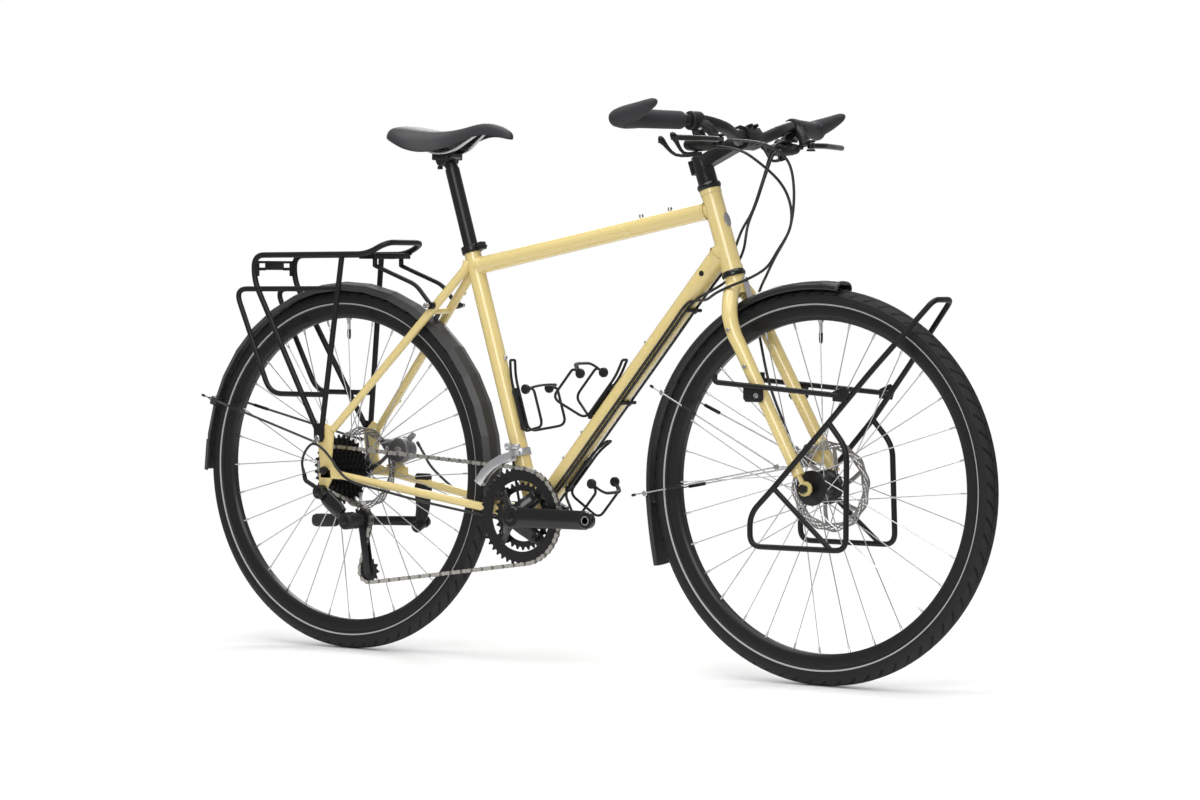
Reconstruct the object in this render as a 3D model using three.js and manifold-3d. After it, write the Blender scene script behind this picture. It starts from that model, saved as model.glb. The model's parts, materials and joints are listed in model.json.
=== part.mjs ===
// Touring bicycle with racks, mudguards, three bottle cages and a folded kickstand.
// All sizes are in millimetres. X points forward, Y to the rider's left and Z up.
// The sketch origin is on the ground under the rear axle; the group at the end moves it
// to the middle of the bicycle's length.
import * as THREE from 'three';
import { mergeVertices } from 'three/addons/utils/BufferGeometryUtils.js';
import Module from 'manifold-3d';

const wasm = await Module();
wasm.setup();

// Driving sizes of the whole bicycle
const wheelRadius = 349;
const wheelbase = 1070;
const bottomBracketAhead = 449;
const bottomBracketHeight = 277;
const seatTubeAngle = THREE.MathUtils.degToRad(73.3);
const headAngle = THREE.MathUtils.degToRad(71.7);
const forkOffset = 55;
const frontDropoutSpacing = 100;
const rearDropoutSpacing = 135;
const handlebarWidth = 650;
const crankLength = 170;
const gap = 0.3;
const overrun = 4;

// Solids are joined and cut as closed triangle bodies
const weldDistance = 0.0005;
const sides = [-1, 1];

function at(x, y, z) {
  return new THREE.Vector3(x, y, z);
}

function between(a, b, share) {
  return a.clone().lerp(b, share);
}

function along(start, direction, distance) {
  return start.clone().addScaledVector(direction, distance);
}

const forward = at(1, 0, 0);
const left = at(0, 1, 0);
const up = at(0, 0, 1);

function solidOf(geometry) {
  const bare = new THREE.BufferGeometry();
  bare.setAttribute('position', geometry.attributes.position.clone());
  if (geometry.index) bare.setIndex(geometry.index.clone());
  const merged = mergeVertices(bare, weldDistance);
  const points = merged.attributes.position.array;
  const index = merged.index.array;
  const corners = [];
  let volume = 0;
  for (let i = 0; i < index.length; i += 3) {
    const [a, b, c] = [index[i], index[i + 1], index[i + 2]];
    if (a === b || b === c || c === a) continue;
    corners.push(a, b, c);
    const [p, q, r] = [a, b, c].map((k) => new THREE.Vector3().fromArray(points, 3 * k));
    volume += p.dot(q.cross(r));
  }
  if (volume < 0) corners.reverse();
  const mesh = { numProp: 3, vertProperties: points, triVerts: Uint32Array.from(corners) };
  return new wasm.Manifold(new wasm.Mesh(mesh));
}

function join(...solids) {
  return solids.flat(Infinity).reduce((whole, solid) => whole.add(solid));
}

function cut(solid, ...tools) {
  return tools.flat(Infinity).reduce((whole, tool) => whole.subtract(tool), solid);
}

function geometryOf(solid) {
  const mesh = solid.getMesh();
  const geometry = new THREE.BufferGeometry();
  const points = new Float32Array(mesh.vertProperties);
  geometry.setAttribute('position', new THREE.BufferAttribute(points, 3));
  geometry.setIndex(new THREE.BufferAttribute(new Uint32Array(mesh.triVerts), 1));
  geometry.computeVertexNormals();
  return geometry;
}

// Moves a shape built about its own Y axis so that it starts at a point and runs along a line
function stand(geometry, start, direction) {
  const turn = new THREE.Quaternion().setFromUnitVectors(left, direction.clone().normalize());
  geometry.applyQuaternion(turn);
  geometry.translate(start.x, start.y, start.z);
  return solidOf(geometry);
}

function rod(a, b, radius, faces = 10, endRadius = radius) {
  const geometry = new THREE.CylinderGeometry(endRadius, radius, a.distanceTo(b), faces);
  return stand(geometry, between(a, b, 0.5), b.clone().sub(a));
}

// The corner radius of a bore whose flats clear a round piece
function clearOf(radius, faces, clearance = gap) {
  return (radius + clearance) / Math.cos(Math.PI / faces);
}

function ball(centre, radius, faces = 8) {
  const geometry = new THREE.SphereGeometry(radius, faces, faces / 2);
  geometry.translate(centre.x, centre.y, centre.z);
  return solidOf(geometry);
}

// A profile of [radius, height] pairs turned about a line
function turned(profile, start, direction, faces = 16) {
  const points = profile.map(([radius, height]) => new THREE.Vector2(radius, height));
  return stand(new THREE.LatheGeometry(points, faces), start, direction);
}

// A flat outline of [across, upward] pairs, pushed out by its thickness from its middle plane
function slab(outline, thickness, origin, across, upward, holes = []) {
  const shape = new THREE.Shape(outline.map(([a, b]) => new THREE.Vector2(a, b)));
  for (const hole of holes) {
    shape.holes.push(new THREE.Path(hole.map(([a, b]) => new THREE.Vector2(a, b))));
  }
  const geometry = new THREE.ExtrudeGeometry(shape, { depth: thickness, bevelEnabled: false });
  geometry.translate(0, 0, -thickness / 2);
  const outward = new THREE.Vector3().crossVectors(across, upward);
  const place = new THREE.Matrix4().makeBasis(across, upward, outward);
  geometry.applyMatrix4(place.setPosition(origin));
  return solidOf(geometry);
}

function block(centre, length, width, height, across = forward, upward = up) {
  const outline = [
    [-length / 2, -height / 2],
    [length / 2, -height / 2],
    [length / 2, height / 2],
    [-length / 2, height / 2],
  ];
  return slab(outline, width, centre, across, upward);
}

function circle(radius, faces, x = 0, y = 0) {
  return Array.from({ length: faces }, (_, i) => {
    const turn = (2 * Math.PI * i) / faces;
    return [x + radius * Math.cos(turn), y + radius * Math.sin(turn)];
  });
}

// A route through chosen stations. With a side direction its section never twists.
class Route extends THREE.Curve {
  constructor(stations, side) {
    super();
    this.stations = stations;
    this.side = side;
  }

  getPointAt(share) {
    return this.stations[Math.round(share * (this.stations.length - 1))].clone();
  }

  getSpacedPoints() {
    return this.stations.map((station) => station.clone());
  }

  getTangentAt(share) {
    const i = Math.round(share * (this.stations.length - 1));
    const here = this.stations[i];
    const tangent = new THREE.Vector3();
    if (i > 0) tangent.add(here.clone().sub(this.stations[i - 1]).normalize());
    if (i < this.stations.length - 1) tangent.add(this.stations[i + 1].clone().sub(here).normalize());
    return tangent.normalize();
  }

  computeFrenetFrames(steps, closed) {
    if (!this.side) return super.computeFrenetFrames(steps, closed);
    const tangents = this.stations.map((_, i) => this.getTangentAt(i / (this.stations.length - 1)));
    const normals = tangents.map((tangent) => {
      const across = this.side.clone().addScaledVector(tangent, -this.side.dot(tangent));
      return across.normalize();
    });
    const binormals = tangents.map((tangent, i) => tangent.clone().cross(normals[i]));
    return { tangents, normals, binormals };
  }
}

function sweep(section, stations, side) {
  const shape = new THREE.Shape(section.map(([a, b]) => new THREE.Vector2(a, b)));
  const steps = stations.length - 1;
  const extrudePath = new Route(stations, side);
  return solidOf(new THREE.ExtrudeGeometry(shape, { steps, extrudePath, bevelEnabled: false }));
}

// Straight runs joined by round corners
function bend(corners, radius, steps = 3) {
  const stations = [corners[0].clone()];
  for (let i = 1; i < corners.length - 1; i += 1) {
    const here = corners[i];
    const back = corners[i - 1].clone().sub(here);
    const ahead = corners[i + 1].clone().sub(here);
    const half = back.angleTo(ahead) / 2;
    const room = 0.45 * Math.min(back.length(), ahead.length());
    const reach = Math.min(radius / Math.tan(half), room);
    const start = along(here, back.normalize(), reach);
    const end = along(here, ahead.normalize(), reach);
    const curve = new THREE.QuadraticBezierCurve3(start, here, end);
    stations.push(...curve.getPoints(steps));
  }
  stations.push(corners[corners.length - 1]);
  return stations;
}

function tube(corners, radius, bendRadius, faces = 6, steps = 3) {
  return sweep(circle(radius, faces), bend(corners, bendRadius, steps));
}

// Every sub-part is one named mesh in its own material
const bicycle = new THREE.Group();
const finishes = {
  cream: [0xe0d09a, 0.3, 0.1],
  black: [0x1c1c1e, 0.4, 0.2],
  satin: [0x232326, 0.5, 0.3],
  rubber: [0x151516, 0.85, 0],
  plastic: [0x1a1a1c, 0.6, 0],
  steel: [0xb9bbbd, 0.3, 0.9],
  vinyl: [0x2f3033, 0.7, 0],
};

function piece(name, finish, solid) {
  const [color, roughness, metalness] = finishes[finish];
  const material = new THREE.MeshStandardMaterial({ color, roughness, metalness });
  const mesh = new THREE.Mesh(geometryOf(solid), material);
  mesh.name = name;
  bicycle.add(mesh);
}

// Main points and directions that every piece shares
const rearAxleCentre = at(0, 0, wheelRadius);
const frontAxleCentre = at(wheelbase, 0, wheelRadius);
const bottomBracket = at(bottomBracketAhead, 0, bottomBracketHeight);
const seatUp = at(-Math.cos(seatTubeAngle), 0, Math.sin(seatTubeAngle));
const seatOut = at(Math.sin(seatTubeAngle), 0, Math.cos(seatTubeAngle));
const steerUp = at(-Math.cos(headAngle), 0, Math.sin(headAngle));
const steerOut = at(Math.sin(headAngle), 0, Math.cos(headAngle));
const steerFoot = at(wheelbase - forkOffset / Math.sin(headAngle), 0, wheelRadius);

function onSteer(height) {
  return along(steerFoot, steerUp, (height - wheelRadius) / Math.sin(headAngle));
}

function onSeat(height) {
  return along(bottomBracket, seatUp, (height - bottomBracketHeight) / Math.sin(seatTubeAngle));
}

// Frame: welded tubes, shell, dropouts, hanger, bosses and stops
const seatTube = { radius: 15.9, length: 524, bore: 13.9, boreDepth: 360, slotWidth: 3, slotLength: 34 };
const headTube = { radius: 18.5, length: 153, bore: 15.6, bottomHeight: 729 };
const topTube = { radius: 15.9, rearHeight: 740, frontHeight: 840.5 };
const downTube = { radius: 19, frontHeight: 772 };
const shell = { radius: 21, halfWidth: 34, bore: 17.5 };
const seatStay = { radius: 8.5, footRadius: 7, topHeight: 738, topSpread: 14, topBack: 17 };
const seatStayFoot = { ahead: 17, height: 428 };
const stayBridge = { radius: 6, height: 656 };
const strutBoss = { radius: 6, height: 667, spread: 34.7 };
const chainStay = { radius: 9, footRadius: 8, footAhead: 36, footHeight: 341 };
const chainStayBend = { ahead: 362, spread: 34, startBehind: 17, startSpread: 21 };
const chainBridge = { radius: 6, ahead: 380 };
const dropout = { thickness: 6, axleHole: 5.4, ear: 15 };
const eyelet = { back: 13, height: 412, radius: 7 };
const hanger = { back: 9, height: 311, radius: 9 };
const boss = { radius: 5, height: 2.2, spacing: 64 };
const stop = { radius: 3.2, length: 14, rise: 5, fromHead: 62 };
const mainFaces = 10;
const stayFaces = 6;
const smallFaces = 6;

const dropoutSpread = rearDropoutSpacing / 2 + dropout.thickness / 2;
const headBottom = onSteer(headTube.bottomHeight);
const headTop = along(headBottom, steerUp, headTube.length);
const seatTop = along(bottomBracket, seatUp, seatTube.length);
const downEnd = onSteer(downTube.frontHeight);
const downUp = downEnd.clone().sub(bottomBracket).normalize();
const downOut = at(-downUp.z, 0, downUp.x);
const topRear = onSeat(topTube.rearHeight);
const topFront = onSteer(topTube.frontHeight);
const topUp = topFront.clone().sub(topRear).normalize();
const topOut = at(-topUp.z, 0, topUp.x);

function seatStayPoint(side, share) {
  const top = along(onSeat(seatStay.topHeight), seatOut, -seatStay.topBack).setY(side * seatStay.topSpread);
  const foot = at(seatStayFoot.ahead, side * dropoutSpread, seatStayFoot.height);
  return between(top, foot, share);
}

function seatStayAt(side, height) {
  const top = seatStayPoint(side, 0).z;
  return seatStayPoint(side, (top - height) / (top - seatStayFoot.height));
}

function bossAt(start, direction, outward, radius, distance) {
  const foot = along(along(start, direction, distance), outward, radius - boss.height);
  return rod(foot, along(foot, outward, 2 * boss.height), boss.radius, smallFaces);
}

// Where each bottle cage's lower bolt sits along its tube, and where spare bosses are
const cageBolt = { seatTube: 166, downTube: 228, underTube: 91 };
const spareBoss = { low: 125 };

function dropoutPlate(side) {
  const middle = at(0, side * dropoutSpread, 0);
  const ring = dropout.ear;
  const outline = [
    [-ring, wheelRadius - ring],
    [ring, wheelRadius - ring],
    [chainStay.footAhead, chainStay.footHeight - chainStay.footRadius],
    [chainStay.footAhead + ring, chainStay.footHeight],
    [chainStay.footAhead, chainStay.footHeight + chainStay.footRadius],
    [2 * ring, wheelRadius + ring],
    [seatStayFoot.ahead + seatStay.footRadius, seatStayFoot.height],
    [seatStayFoot.ahead, seatStayFoot.height + seatStay.footRadius],
    [-eyelet.back - eyelet.radius, eyelet.height + eyelet.radius],
    [-eyelet.back - eyelet.radius, eyelet.height - eyelet.radius],
    [-ring, wheelRadius + ring],
  ];
  const plate = slab(outline, dropout.thickness, middle, forward, up);
  const ends = dropout.thickness / 2 + overrun;
  const hole = (x, z, radius) => rod(
    at(x, middle.y - ends, z), at(x, middle.y + ends, z), radius, 8);
  return cut(plate, hole(0, wheelRadius, dropout.axleHole));
}

function hangerPlate() {
  const outline = [
    [-dropout.ear, wheelRadius],
    [-hanger.back - hanger.radius, hanger.height],
    [-hanger.back, hanger.height - hanger.radius],
    [-hanger.back + hanger.radius, hanger.height],
    [dropout.ear, wheelRadius - dropout.ear],
  ];
  const plate = slab(outline, dropout.thickness, at(0, -dropoutSpread, 0), forward, up);
  const ends = dropoutSpread + dropout.thickness;
  const axle = rod(at(0, -ends, wheelRadius), at(0, 0, wheelRadius), dropout.axleHole, 8);
  return cut(plate, axle);
}

// A point on a chain stay's middle line at a distance ahead of the rear axle
function chainStayAt(side, ahead) {
  const start = along(bottomBracket, forward, -chainStayBend.startBehind);
  const foot = at(chainStay.footAhead, dropoutSpread, chainStay.footHeight);
  const share = (start.x - ahead) / (start.x - foot.x);
  const height = THREE.MathUtils.lerp(start.z, foot.z, share);
  const front = ahead > chainStayBend.ahead;
  const spread = front
    ? THREE.MathUtils.mapLinear(ahead, start.x, chainStayBend.ahead, chainStayBend.startSpread,
      chainStayBend.spread)
    : THREE.MathUtils.mapLinear(ahead, chainStayBend.ahead, foot.x, chainStayBend.spread, foot.y);
  return at(ahead, side * spread, height);
}

function chainStayTube(side) {
  const start = chainStayAt(side, bottomBracketAhead - chainStayBend.startBehind);
  const knee = chainStayAt(side, chainStayBend.ahead);
  const foot = chainStayAt(side, chainStay.footAhead);
  return join(
    rod(start, knee, chainStay.radius, stayFaces, chainStay.footRadius),
    rod(knee, foot, chainStay.footRadius, stayFaces),
    ball(knee, chainStay.footRadius, 6),
  );
}

// Plate above the left chain stay that the rear brake caliper bolts to
const rearLug = { ahead: 70, length: 50, width: 6.5, outerSpread: 63, foot: 336, top: 380 };

function rearCaliperLug() {
  const height = rearLug.top - rearLug.foot;
  const centre = at(rearLug.ahead, rearLug.outerSpread - rearLug.width / 2, rearLug.foot + height / 2);
  return block(centre, rearLug.length, rearLug.width, height);
}

function frameSolid() {
  const shellEnd = shell.halfWidth;
  const tubes = join(
    rod(headBottom, headTop, headTube.radius, mainFaces),
    rod(topRear, topFront, topTube.radius, mainFaces),
    rod(bottomBracket, downEnd, downTube.radius, mainFaces),
    rod(bottomBracket, seatTop, seatTube.radius, mainFaces),
    rod(bottomBracket.clone().setY(-shellEnd), bottomBracket.clone().setY(shellEnd), shell.radius,
      mainFaces),
    sides.map((side) => rod(
      seatStayPoint(side, 0), seatStayPoint(side, 1), seatStay.radius, stayFaces, seatStay.footRadius)),
    sides.map(chainStayTube),
    sides.map(dropoutPlate),
    hangerPlate(),
    rod(seatStayAt(-1, stayBridge.height), seatStayAt(1, stayBridge.height), stayBridge.radius, stayFaces),
    rod(chainStayAt(-1, chainBridge.ahead), chainStayAt(1, chainBridge.ahead), chainBridge.radius,
      stayFaces),
    sides.map((side) => {
      const foot = seatStayAt(side, strutBoss.height);
      return rod(foot, foot.clone().setY(side * strutBoss.spread), strutBoss.radius, stayFaces);
    }),
    rearCaliperLug(),
  );
  const under = downOut.clone().negate();
  const bosses = [0, boss.spacing].map((step) => [
    bossAt(bottomBracket, seatUp, seatOut, seatTube.radius, cageBolt.seatTube + step),
    bossAt(bottomBracket, downUp, downOut, downTube.radius, cageBolt.downTube + step),
    bossAt(bottomBracket, downUp, under, downTube.radius, cageBolt.underTube + step),
    bossAt(bottomBracket, downUp, downOut, downTube.radius, spareBoss.low + step),
  ]);
  const stops = [0, 1].map((i) => {
    const foot = along(topFront, topUp, -stop.fromHead - 2 * i * stop.length);
    const low = along(foot, topOut, topTube.radius + stop.rise - stop.radius);
    return [
      rod(low, along(low, topUp, stop.length), stop.radius, smallFaces),
    ];
  });
  const seatBoreFoot = along(seatTop, seatUp, -seatTube.boreDepth);
  const slotMiddle = along(along(seatTop, seatUp, -seatTube.slotLength / 2), seatOut, seatTube.radius);
  return cut(
    join(tubes, bosses, stops),
    rod(along(headBottom, steerUp, -overrun), along(headTop, steerUp, overrun), headTube.bore, mainFaces),
    rod(seatBoreFoot, along(seatTop, seatUp, overrun), seatTube.bore, mainFaces),
    rod(
      bottomBracket.clone().setY(-shellEnd - overrun), bottomBracket.clone().setY(shellEnd + overrun),
      shell.bore, mainFaces),
    block(slotMiddle, 2 * (seatTube.radius - seatTube.bore) + overrun, seatTube.slotWidth,
      seatTube.slotLength + overrun, seatOut, seatUp),
  );
}
piece('frame', 'cream', frameSolid());

// Headset cups sit on the ends of the head tube, clear of the steerer
const steerer = { radius: 14.3 };
const cup = { radius: 22, height: 11, lipShare: 0.8, bore: 15.2 };

function cupSolid(foot, direction) {
  const narrow = cup.lipShare * cup.radius;
  const profile = [
    [cup.bore, 0],
    [narrow, 0],
    [cup.radius, cup.height / 3],
    [cup.radius, (2 * cup.height) / 3],
    [narrow, cup.height],
    [cup.bore, cup.height],
    [cup.bore, 0],
  ];
  return turned(profile, foot, direction);
}
const lowerCupFoot = along(headBottom, steerUp, -gap);
const upperCupFoot = along(headTop, steerUp, gap);
piece('headset_lower_cup', 'black', cupSolid(lowerCupFoot, steerUp.clone().negate()));
piece('headset_upper_cup', 'black', cupSolid(upperCupFoot, steerUp));

// Seat clamp: a split collar with its bolt in front
const collar = { wall: 3.2, height: 14, lug: 12, lugWidth: 16, boltRadius: 3.5, boltLength: 26 };

function seatClampSolid() {
  const foot = along(seatTop, seatUp, -collar.height);
  const inner = seatTube.radius + gap;
  const outer = inner + collar.wall;
  const ring = turned([[inner, 0], [outer, 0], [outer, collar.height], [inner, collar.height], [inner, 0]],
    foot, seatUp, mainFaces);
  const middle = along(foot, seatUp, collar.height / 2);
  const lug = block(along(middle, seatOut, outer + collar.lug / 2 - collar.wall / 2),
    collar.lug, collar.lugWidth, collar.height, seatOut, seatUp);
  const boltMiddle = along(middle, seatOut, outer + collar.lug / 2);
  const bolt = rod(
    boltMiddle.clone().setY(-collar.boltLength / 2),
    boltMiddle.clone().setY(collar.boltLength / 2),
    collar.boltRadius, stayFaces);
  return join(ring, lug, bolt);
}
piece('seat_clamp', 'black', seatClampSolid());

// Seatpost: a straight post with a saddle clamp on top
const post = { radius: 13.6, visible: 152, inserted: 190, headLength: 46, headHeight: 16 };
const rail = { radius: 3.5, spread: 22, clampHeight: 955, setback: 12 };
const postTop = along(seatTop, seatUp, post.visible);
const clampCentre = at(postTop.x - rail.setback, 0, rail.clampHeight);

function seatpostSolid() {
  const foot = along(seatTop, seatUp, -post.inserted);
  const headFoot = rail.clampHeight - rail.radius - gap - post.headHeight / 2;
  const head = block(at(clampCentre.x, 0, headFoot), post.headLength, 2 * rail.spread + rail.radius * 2,
    post.headHeight);
  const neck = rod(along(postTop, seatUp, -post.radius), at(clampCentre.x, 0, headFoot), post.radius *
    0.95, 6);
  const bridge = block(at(clampCentre.x, 0, rail.clampHeight), post.headLength / 2,
    2 * (rail.spread - rail.radius - gap), 2 * rail.radius + 2 * gap + post.headHeight);
  const cap = block(at(clampCentre.x, 0, rail.clampHeight + rail.radius + gap + post.headHeight / 4),
    post.headLength * 0.7, 2 * rail.spread + rail.radius * 2, post.headHeight / 2);
  return join(rod(foot, postTop, post.radius, mainFaces), neck, head, bridge, cap);
}
piece('seatpost', 'satin', seatpostSolid());

// Saddle: a lofted shell with its two rails underneath
const saddle = { rear: 125, nose: 399, halfWidth: 74, thickness: 11, topHeight: 1010 };
const saddleStations = 12;
const saddleRing = 4;
const widthShares = [0.5, 0.92, 1, 0.97, 0.8, 0.6, 0.43, 0.33, 0.28, 0.25, 0.22, 0.18, 0.08];
const crownDrops = [9, 1, 3, 8, 12, 14, 13, 10, 5, 1, 2, 9, 22];
const skirtDrops = [16, 34, 44, 46, 44, 40, 34, 28, 24, 22, 22, 20, 8];
const crownDropShares = crownDrops.map((drop) => drop / 22);
const skirtDropShares = skirtDrops.map((drop) => drop / 46);
const saddleCrownDrop = 22;
const saddleSkirtDrop = 46;

// The saddle's cross-section: a crown that falls to both skirts, then the hollow underside
function saddleRingAt(i) {
  const x = saddle.rear + ((saddle.nose - saddle.rear) * i) / saddleStations;
  const half = widthShares[i] * saddle.halfWidth;
  const crown = saddle.topHeight - crownDropShares[i] * saddleCrownDrop;
  const skirt = skirtDropShares[i] * saddleSkirtDrop;
  const points = [];
  for (let j = -saddleRing; j <= saddleRing; j += 1) {
    const turn = (Math.PI / 2) * (j / saddleRing);
    points.push(at(x, half * Math.sin(turn), crown - skirt * (1 - Math.cos(turn)) ** 1.6));
  }
  for (let j = saddleRing - 1; j > -saddleRing; j -= 1) {
    const turn = (Math.PI / 2) * (j / saddleRing);
    const inner = half * Math.sin(turn) * 0.96;
    const floor = crown - saddle.thickness - (skirt - saddle.thickness / 2) * (1 - Math.cos(turn)) ** 1.6;
    points.push(at(x, inner, Math.min(floor, crown - saddle.thickness * 0.6)));
  }
  return points;
}

function loft(rings) {
  const points = rings.flat().flatMap((point) => point.toArray());
  const count = rings[0].length;
  const index = [];
  for (let i = 0; i < rings.length - 1; i += 1) {
    for (let j = 0; j < count; j += 1) {
      const k = (j + 1) % count;
      const [a, b, c, d] = [i * count + j, i * count + k, (i + 1) * count + k, (i + 1) * count + j];
      index.push(a, b, c, a, c, d);
    }
  }
  for (const ring of [0, rings.length - 1]) {
    const flat = rings[ring].map((point) => new THREE.Vector2(point.y, point.z));
    const way = Math.sign(THREE.ShapeUtils.area(flat)) * (ring === 0 ? -1 : 1);
    for (const corners of THREE.ShapeUtils.triangulateShape(flat, [])) {
      if (Math.sign(THREE.ShapeUtils.area(corners.map((k) => flat[k]))) !== way) corners.reverse();
      index.push(...corners.map((k) => ring * count + k));
    }
  }
  const geometry = new THREE.BufferGeometry();
  geometry.setAttribute('position', new THREE.Float32BufferAttribute(points, 3));
  geometry.setIndex(index);
  return solidOf(geometry);
}

function saddleSolid() {
  const rings = Array.from({ length: saddleStations + 1 }, (_, i) => saddleRingAt(i));
  const shellBody = loft(rings);
  const reach = saddle.nose - saddle.rear;
  const straight = post.headLength / 2 + rail.radius;
  const rooted = saddle.topHeight - saddle.thickness + rail.radius / 2;
  const rails = sides.map((side) => {
    const y = side * rail.spread;
    return tube([
      at(saddle.rear + 0.17 * reach, y * 1.4, rooted),
      at(clampCentre.x - straight, y, rail.clampHeight),
      at(clampCentre.x + straight, y, rail.clampHeight),
      at(saddle.rear + 0.78 * reach, y * 0.35, rooted),
    ], rail.radius, 3 * rail.radius, 6, 2);
  });
  return join(shellBody, rails);
}
piece('saddle', 'vinyl', saddleSolid());

// Bottom bracket: a cartridge with a cup on each side of the shell
const cartridge = { bore: 10.2, cupRadius: 22, cupWidth: 4 };

function bottomBracketSolid() {
  const inner = cartridge.bore;
  const outer = shell.bore - gap;
  const half = shell.halfWidth + gap;
  const end = half + cartridge.cupWidth;
  const profile = [
    [inner, -end], [cartridge.cupRadius, -end], [cartridge.cupRadius, -half], [outer, -half],
    [outer, half], [cartridge.cupRadius, half], [cartridge.cupRadius, end], [inner, end], [inner, -end],
  ];
  return turned(profile, bottomBracket, left, mainFaces);
}
piece('bottom_bracket', 'black', bottomBracketSolid());

// Cranks: an arm with a four-legged spider on the right, a plain arm on the left
const crank = { innerSpread: 68, thickness: 13, rootHeight: 36, tipRadius: 16, pedalHole: 7.5 };
const spindle = { radius: 9, faces: 12 };
const spider = { reach: 55, width: 15, thickness: 6, legs: 4 };
const bigRing = { teeth: 44, chainline: 47.5, thickness: 2.1, rim: 13 };
const smallRing = { teeth: 30, chainline: 40.5, thickness: 2.4, rim: 9 };
const ringStud = 4;
const chainPitch = 12.7;
const toothRise = 3.6;
const toothRoot = 3.9;

function pitchRadius(teeth) {
  return chainPitch / (2 * Math.sin(Math.PI / teeth));
}

function crankArm(side) {
  const middle = side * (crank.innerSpread + crank.thickness / 2);
  const direction = -side;
  const root = crank.rootHeight / 2;
  const tip = crank.tipRadius;
  const tipArc = Array.from({ length: 7 }, (_, i) => {
    const turn = -Math.PI / 2 + (Math.PI * i) / 6;
    return [direction * (crankLength + tip * Math.cos(turn)), tip * Math.sin(turn)];
  });
  const outline = [[direction * -root, -0.6 * root], [0, -root], ...tipArc, [0, root],
    [direction * -root, 0.6 * root]];
  const hole = circle(crank.pedalHole, 8, direction * crankLength);
  const centre = bottomBracket.clone().setY(middle);
  return slab(outline, crank.thickness, centre, forward, up, [hole]);
}

function spiderLegs() {
  const middle = -(bigRing.chainline + bigRing.thickness / 2 + gap + spider.thickness / 2);
  const centre = bottomBracket.clone().setY(middle);
  return Array.from({ length: spider.legs }, (_, i) => {
    const turn = Math.PI / 4 + (Math.PI * 2 * i) / spider.legs;
    const out = at(Math.cos(turn), 0, Math.sin(turn));
    const leg = block(along(centre, out, spider.reach / 2), spider.reach, spider.thickness,
      spider.width, out,
      new THREE.Vector3().crossVectors(left, out).negate());
    return leg;
  });
}

function rightCrankSolid() {
  const inner = -(bigRing.chainline + bigRing.thickness / 2 + gap);
  const boss = rod(bottomBracket.clone().setY(inner),
    bottomBracket.clone().setY(-crank.innerSpread - overrun),
    crank.rootHeight / 2, mainFaces);
  const axle = rod(bottomBracket.clone().setY(inner - overrun),
    bottomBracket.clone().setY(crank.innerSpread - gap),
    spindle.radius, spindle.faces);
  return join(crankArm(-1), boss, spiderLegs(), axle);
}
piece('crank_right', 'black', rightCrankSolid());
const leftBossReach = crank.innerSpread - shell.halfWidth - cartridge.cupWidth - 2 * gap - overrun;

function leftCrankSolid() {
  const boss = rod(
    bottomBracket.clone().setY(crank.innerSpread - leftBossReach),
    bottomBracket.clone().setY(crank.innerSpread + overrun), crank.rootHeight / 2, mainFaces);
  const socket = rod(
    bottomBracket.clone().setY(0), bottomBracket.clone().setY(crank.innerSpread), spindle.radius + gap,
    spindle.faces);
  return cut(join(crankArm(1), boss), socket);
}
piece('crank_left', 'black', leftCrankSolid());

// Toothed plates: sprockets, chainrings and pulleys share one outline
function toothed(teeth, phase = 0) {
  const radius = pitchRadius(teeth);
  const low = radius - toothRoot;
  const high = radius + toothRise;
  const outline = [];
  for (let i = 0; i < teeth; i += 1) {
    const step = (2 * Math.PI) / teeth;
    const turn = (i + phase) * step;
    outline.push([low * Math.cos(turn - 0.5 * step), low * Math.sin(turn - 0.5 * step)]);
    outline.push([high * Math.cos(turn - 0.06 * step), high * Math.sin(turn - 0.06 * step)]);
  }
  return outline;
}

function ringSolid(ring) {
  const centre = bottomBracket.clone().setY(-ring.chainline);
  const inner = pitchRadius(ring.teeth) - toothRoot - ring.rim;
  return slab(circle(pitchRadius(ring.teeth) + toothRise / 2, ring.teeth / 2), ring.thickness, centre,
    forward, up, [circle(inner, 16)]);
}

function chainringsSolid() {
  const bigInner = pitchRadius(bigRing.teeth) - toothRoot - bigRing.rim;
  const smallMiddle = pitchRadius(smallRing.teeth) - toothRoot - smallRing.rim / 2;
  const reach = spider.reach;
  const tabs = Array.from({ length: spider.legs }, (_, i) => {
    const turn = Math.PI / 4 + (Math.PI * 2 * i) / spider.legs;
    const out = at(Math.cos(turn), 0, Math.sin(turn));
    const across = new THREE.Vector3().crossVectors(left, out).negate();
    const middle = (reach + bigInner + overrun) / 2;
    const centre = along(bottomBracket, out, middle).setY(-bigRing.chainline);
    const tab = block(centre, bigInner + overrun - reach + spider.width, bigRing.thickness,
      spider.width, out, across);
    const stud = along(bottomBracket, out, smallMiddle);
    return [tab, rod(stud.clone().setY(-smallRing.chainline), stud.clone().setY(-bigRing.chainline),
      ringStud, 8)];
  });
  return join(ringSolid(bigRing), ringSolid(smallRing), tabs);
}
piece('chainrings', 'black', chainringsSolid());

// Wheels: tyre, rim, hub with its spokes, brake disc and axle
const wheelSteps = 28;
const tyre = { halfWidth: 19 };
const rim = { outer: 315.8, seat: 309, shoulder: 305, inner: 293, halfWidth: 12, flange: 1.8 };
const spoke = { count: 32, radius: 1.1, crossing: THREE.MathUtils.degToRad(58), innerStep: 1.6 };
const disc = { radius: 80, thickness: 1.9, rim: 13, hubRadius: 24, arms: 5, armWidth: 8 };
const rearHub = { rightFlange: 17, leftFlange: 30, flangeRadius: 27, barrel: 15, discSpread: 42, end: 47 };
const frontHub = { rightFlange: 30, leftFlange: 24, flangeRadius: 31, barrel: 22, discSpread: 33, end: 38 };
const axle = { radius: 4.8, running: 0.5, collar: 8, nut: 8.5, nutLength: 9, stub: 4 };

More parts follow.
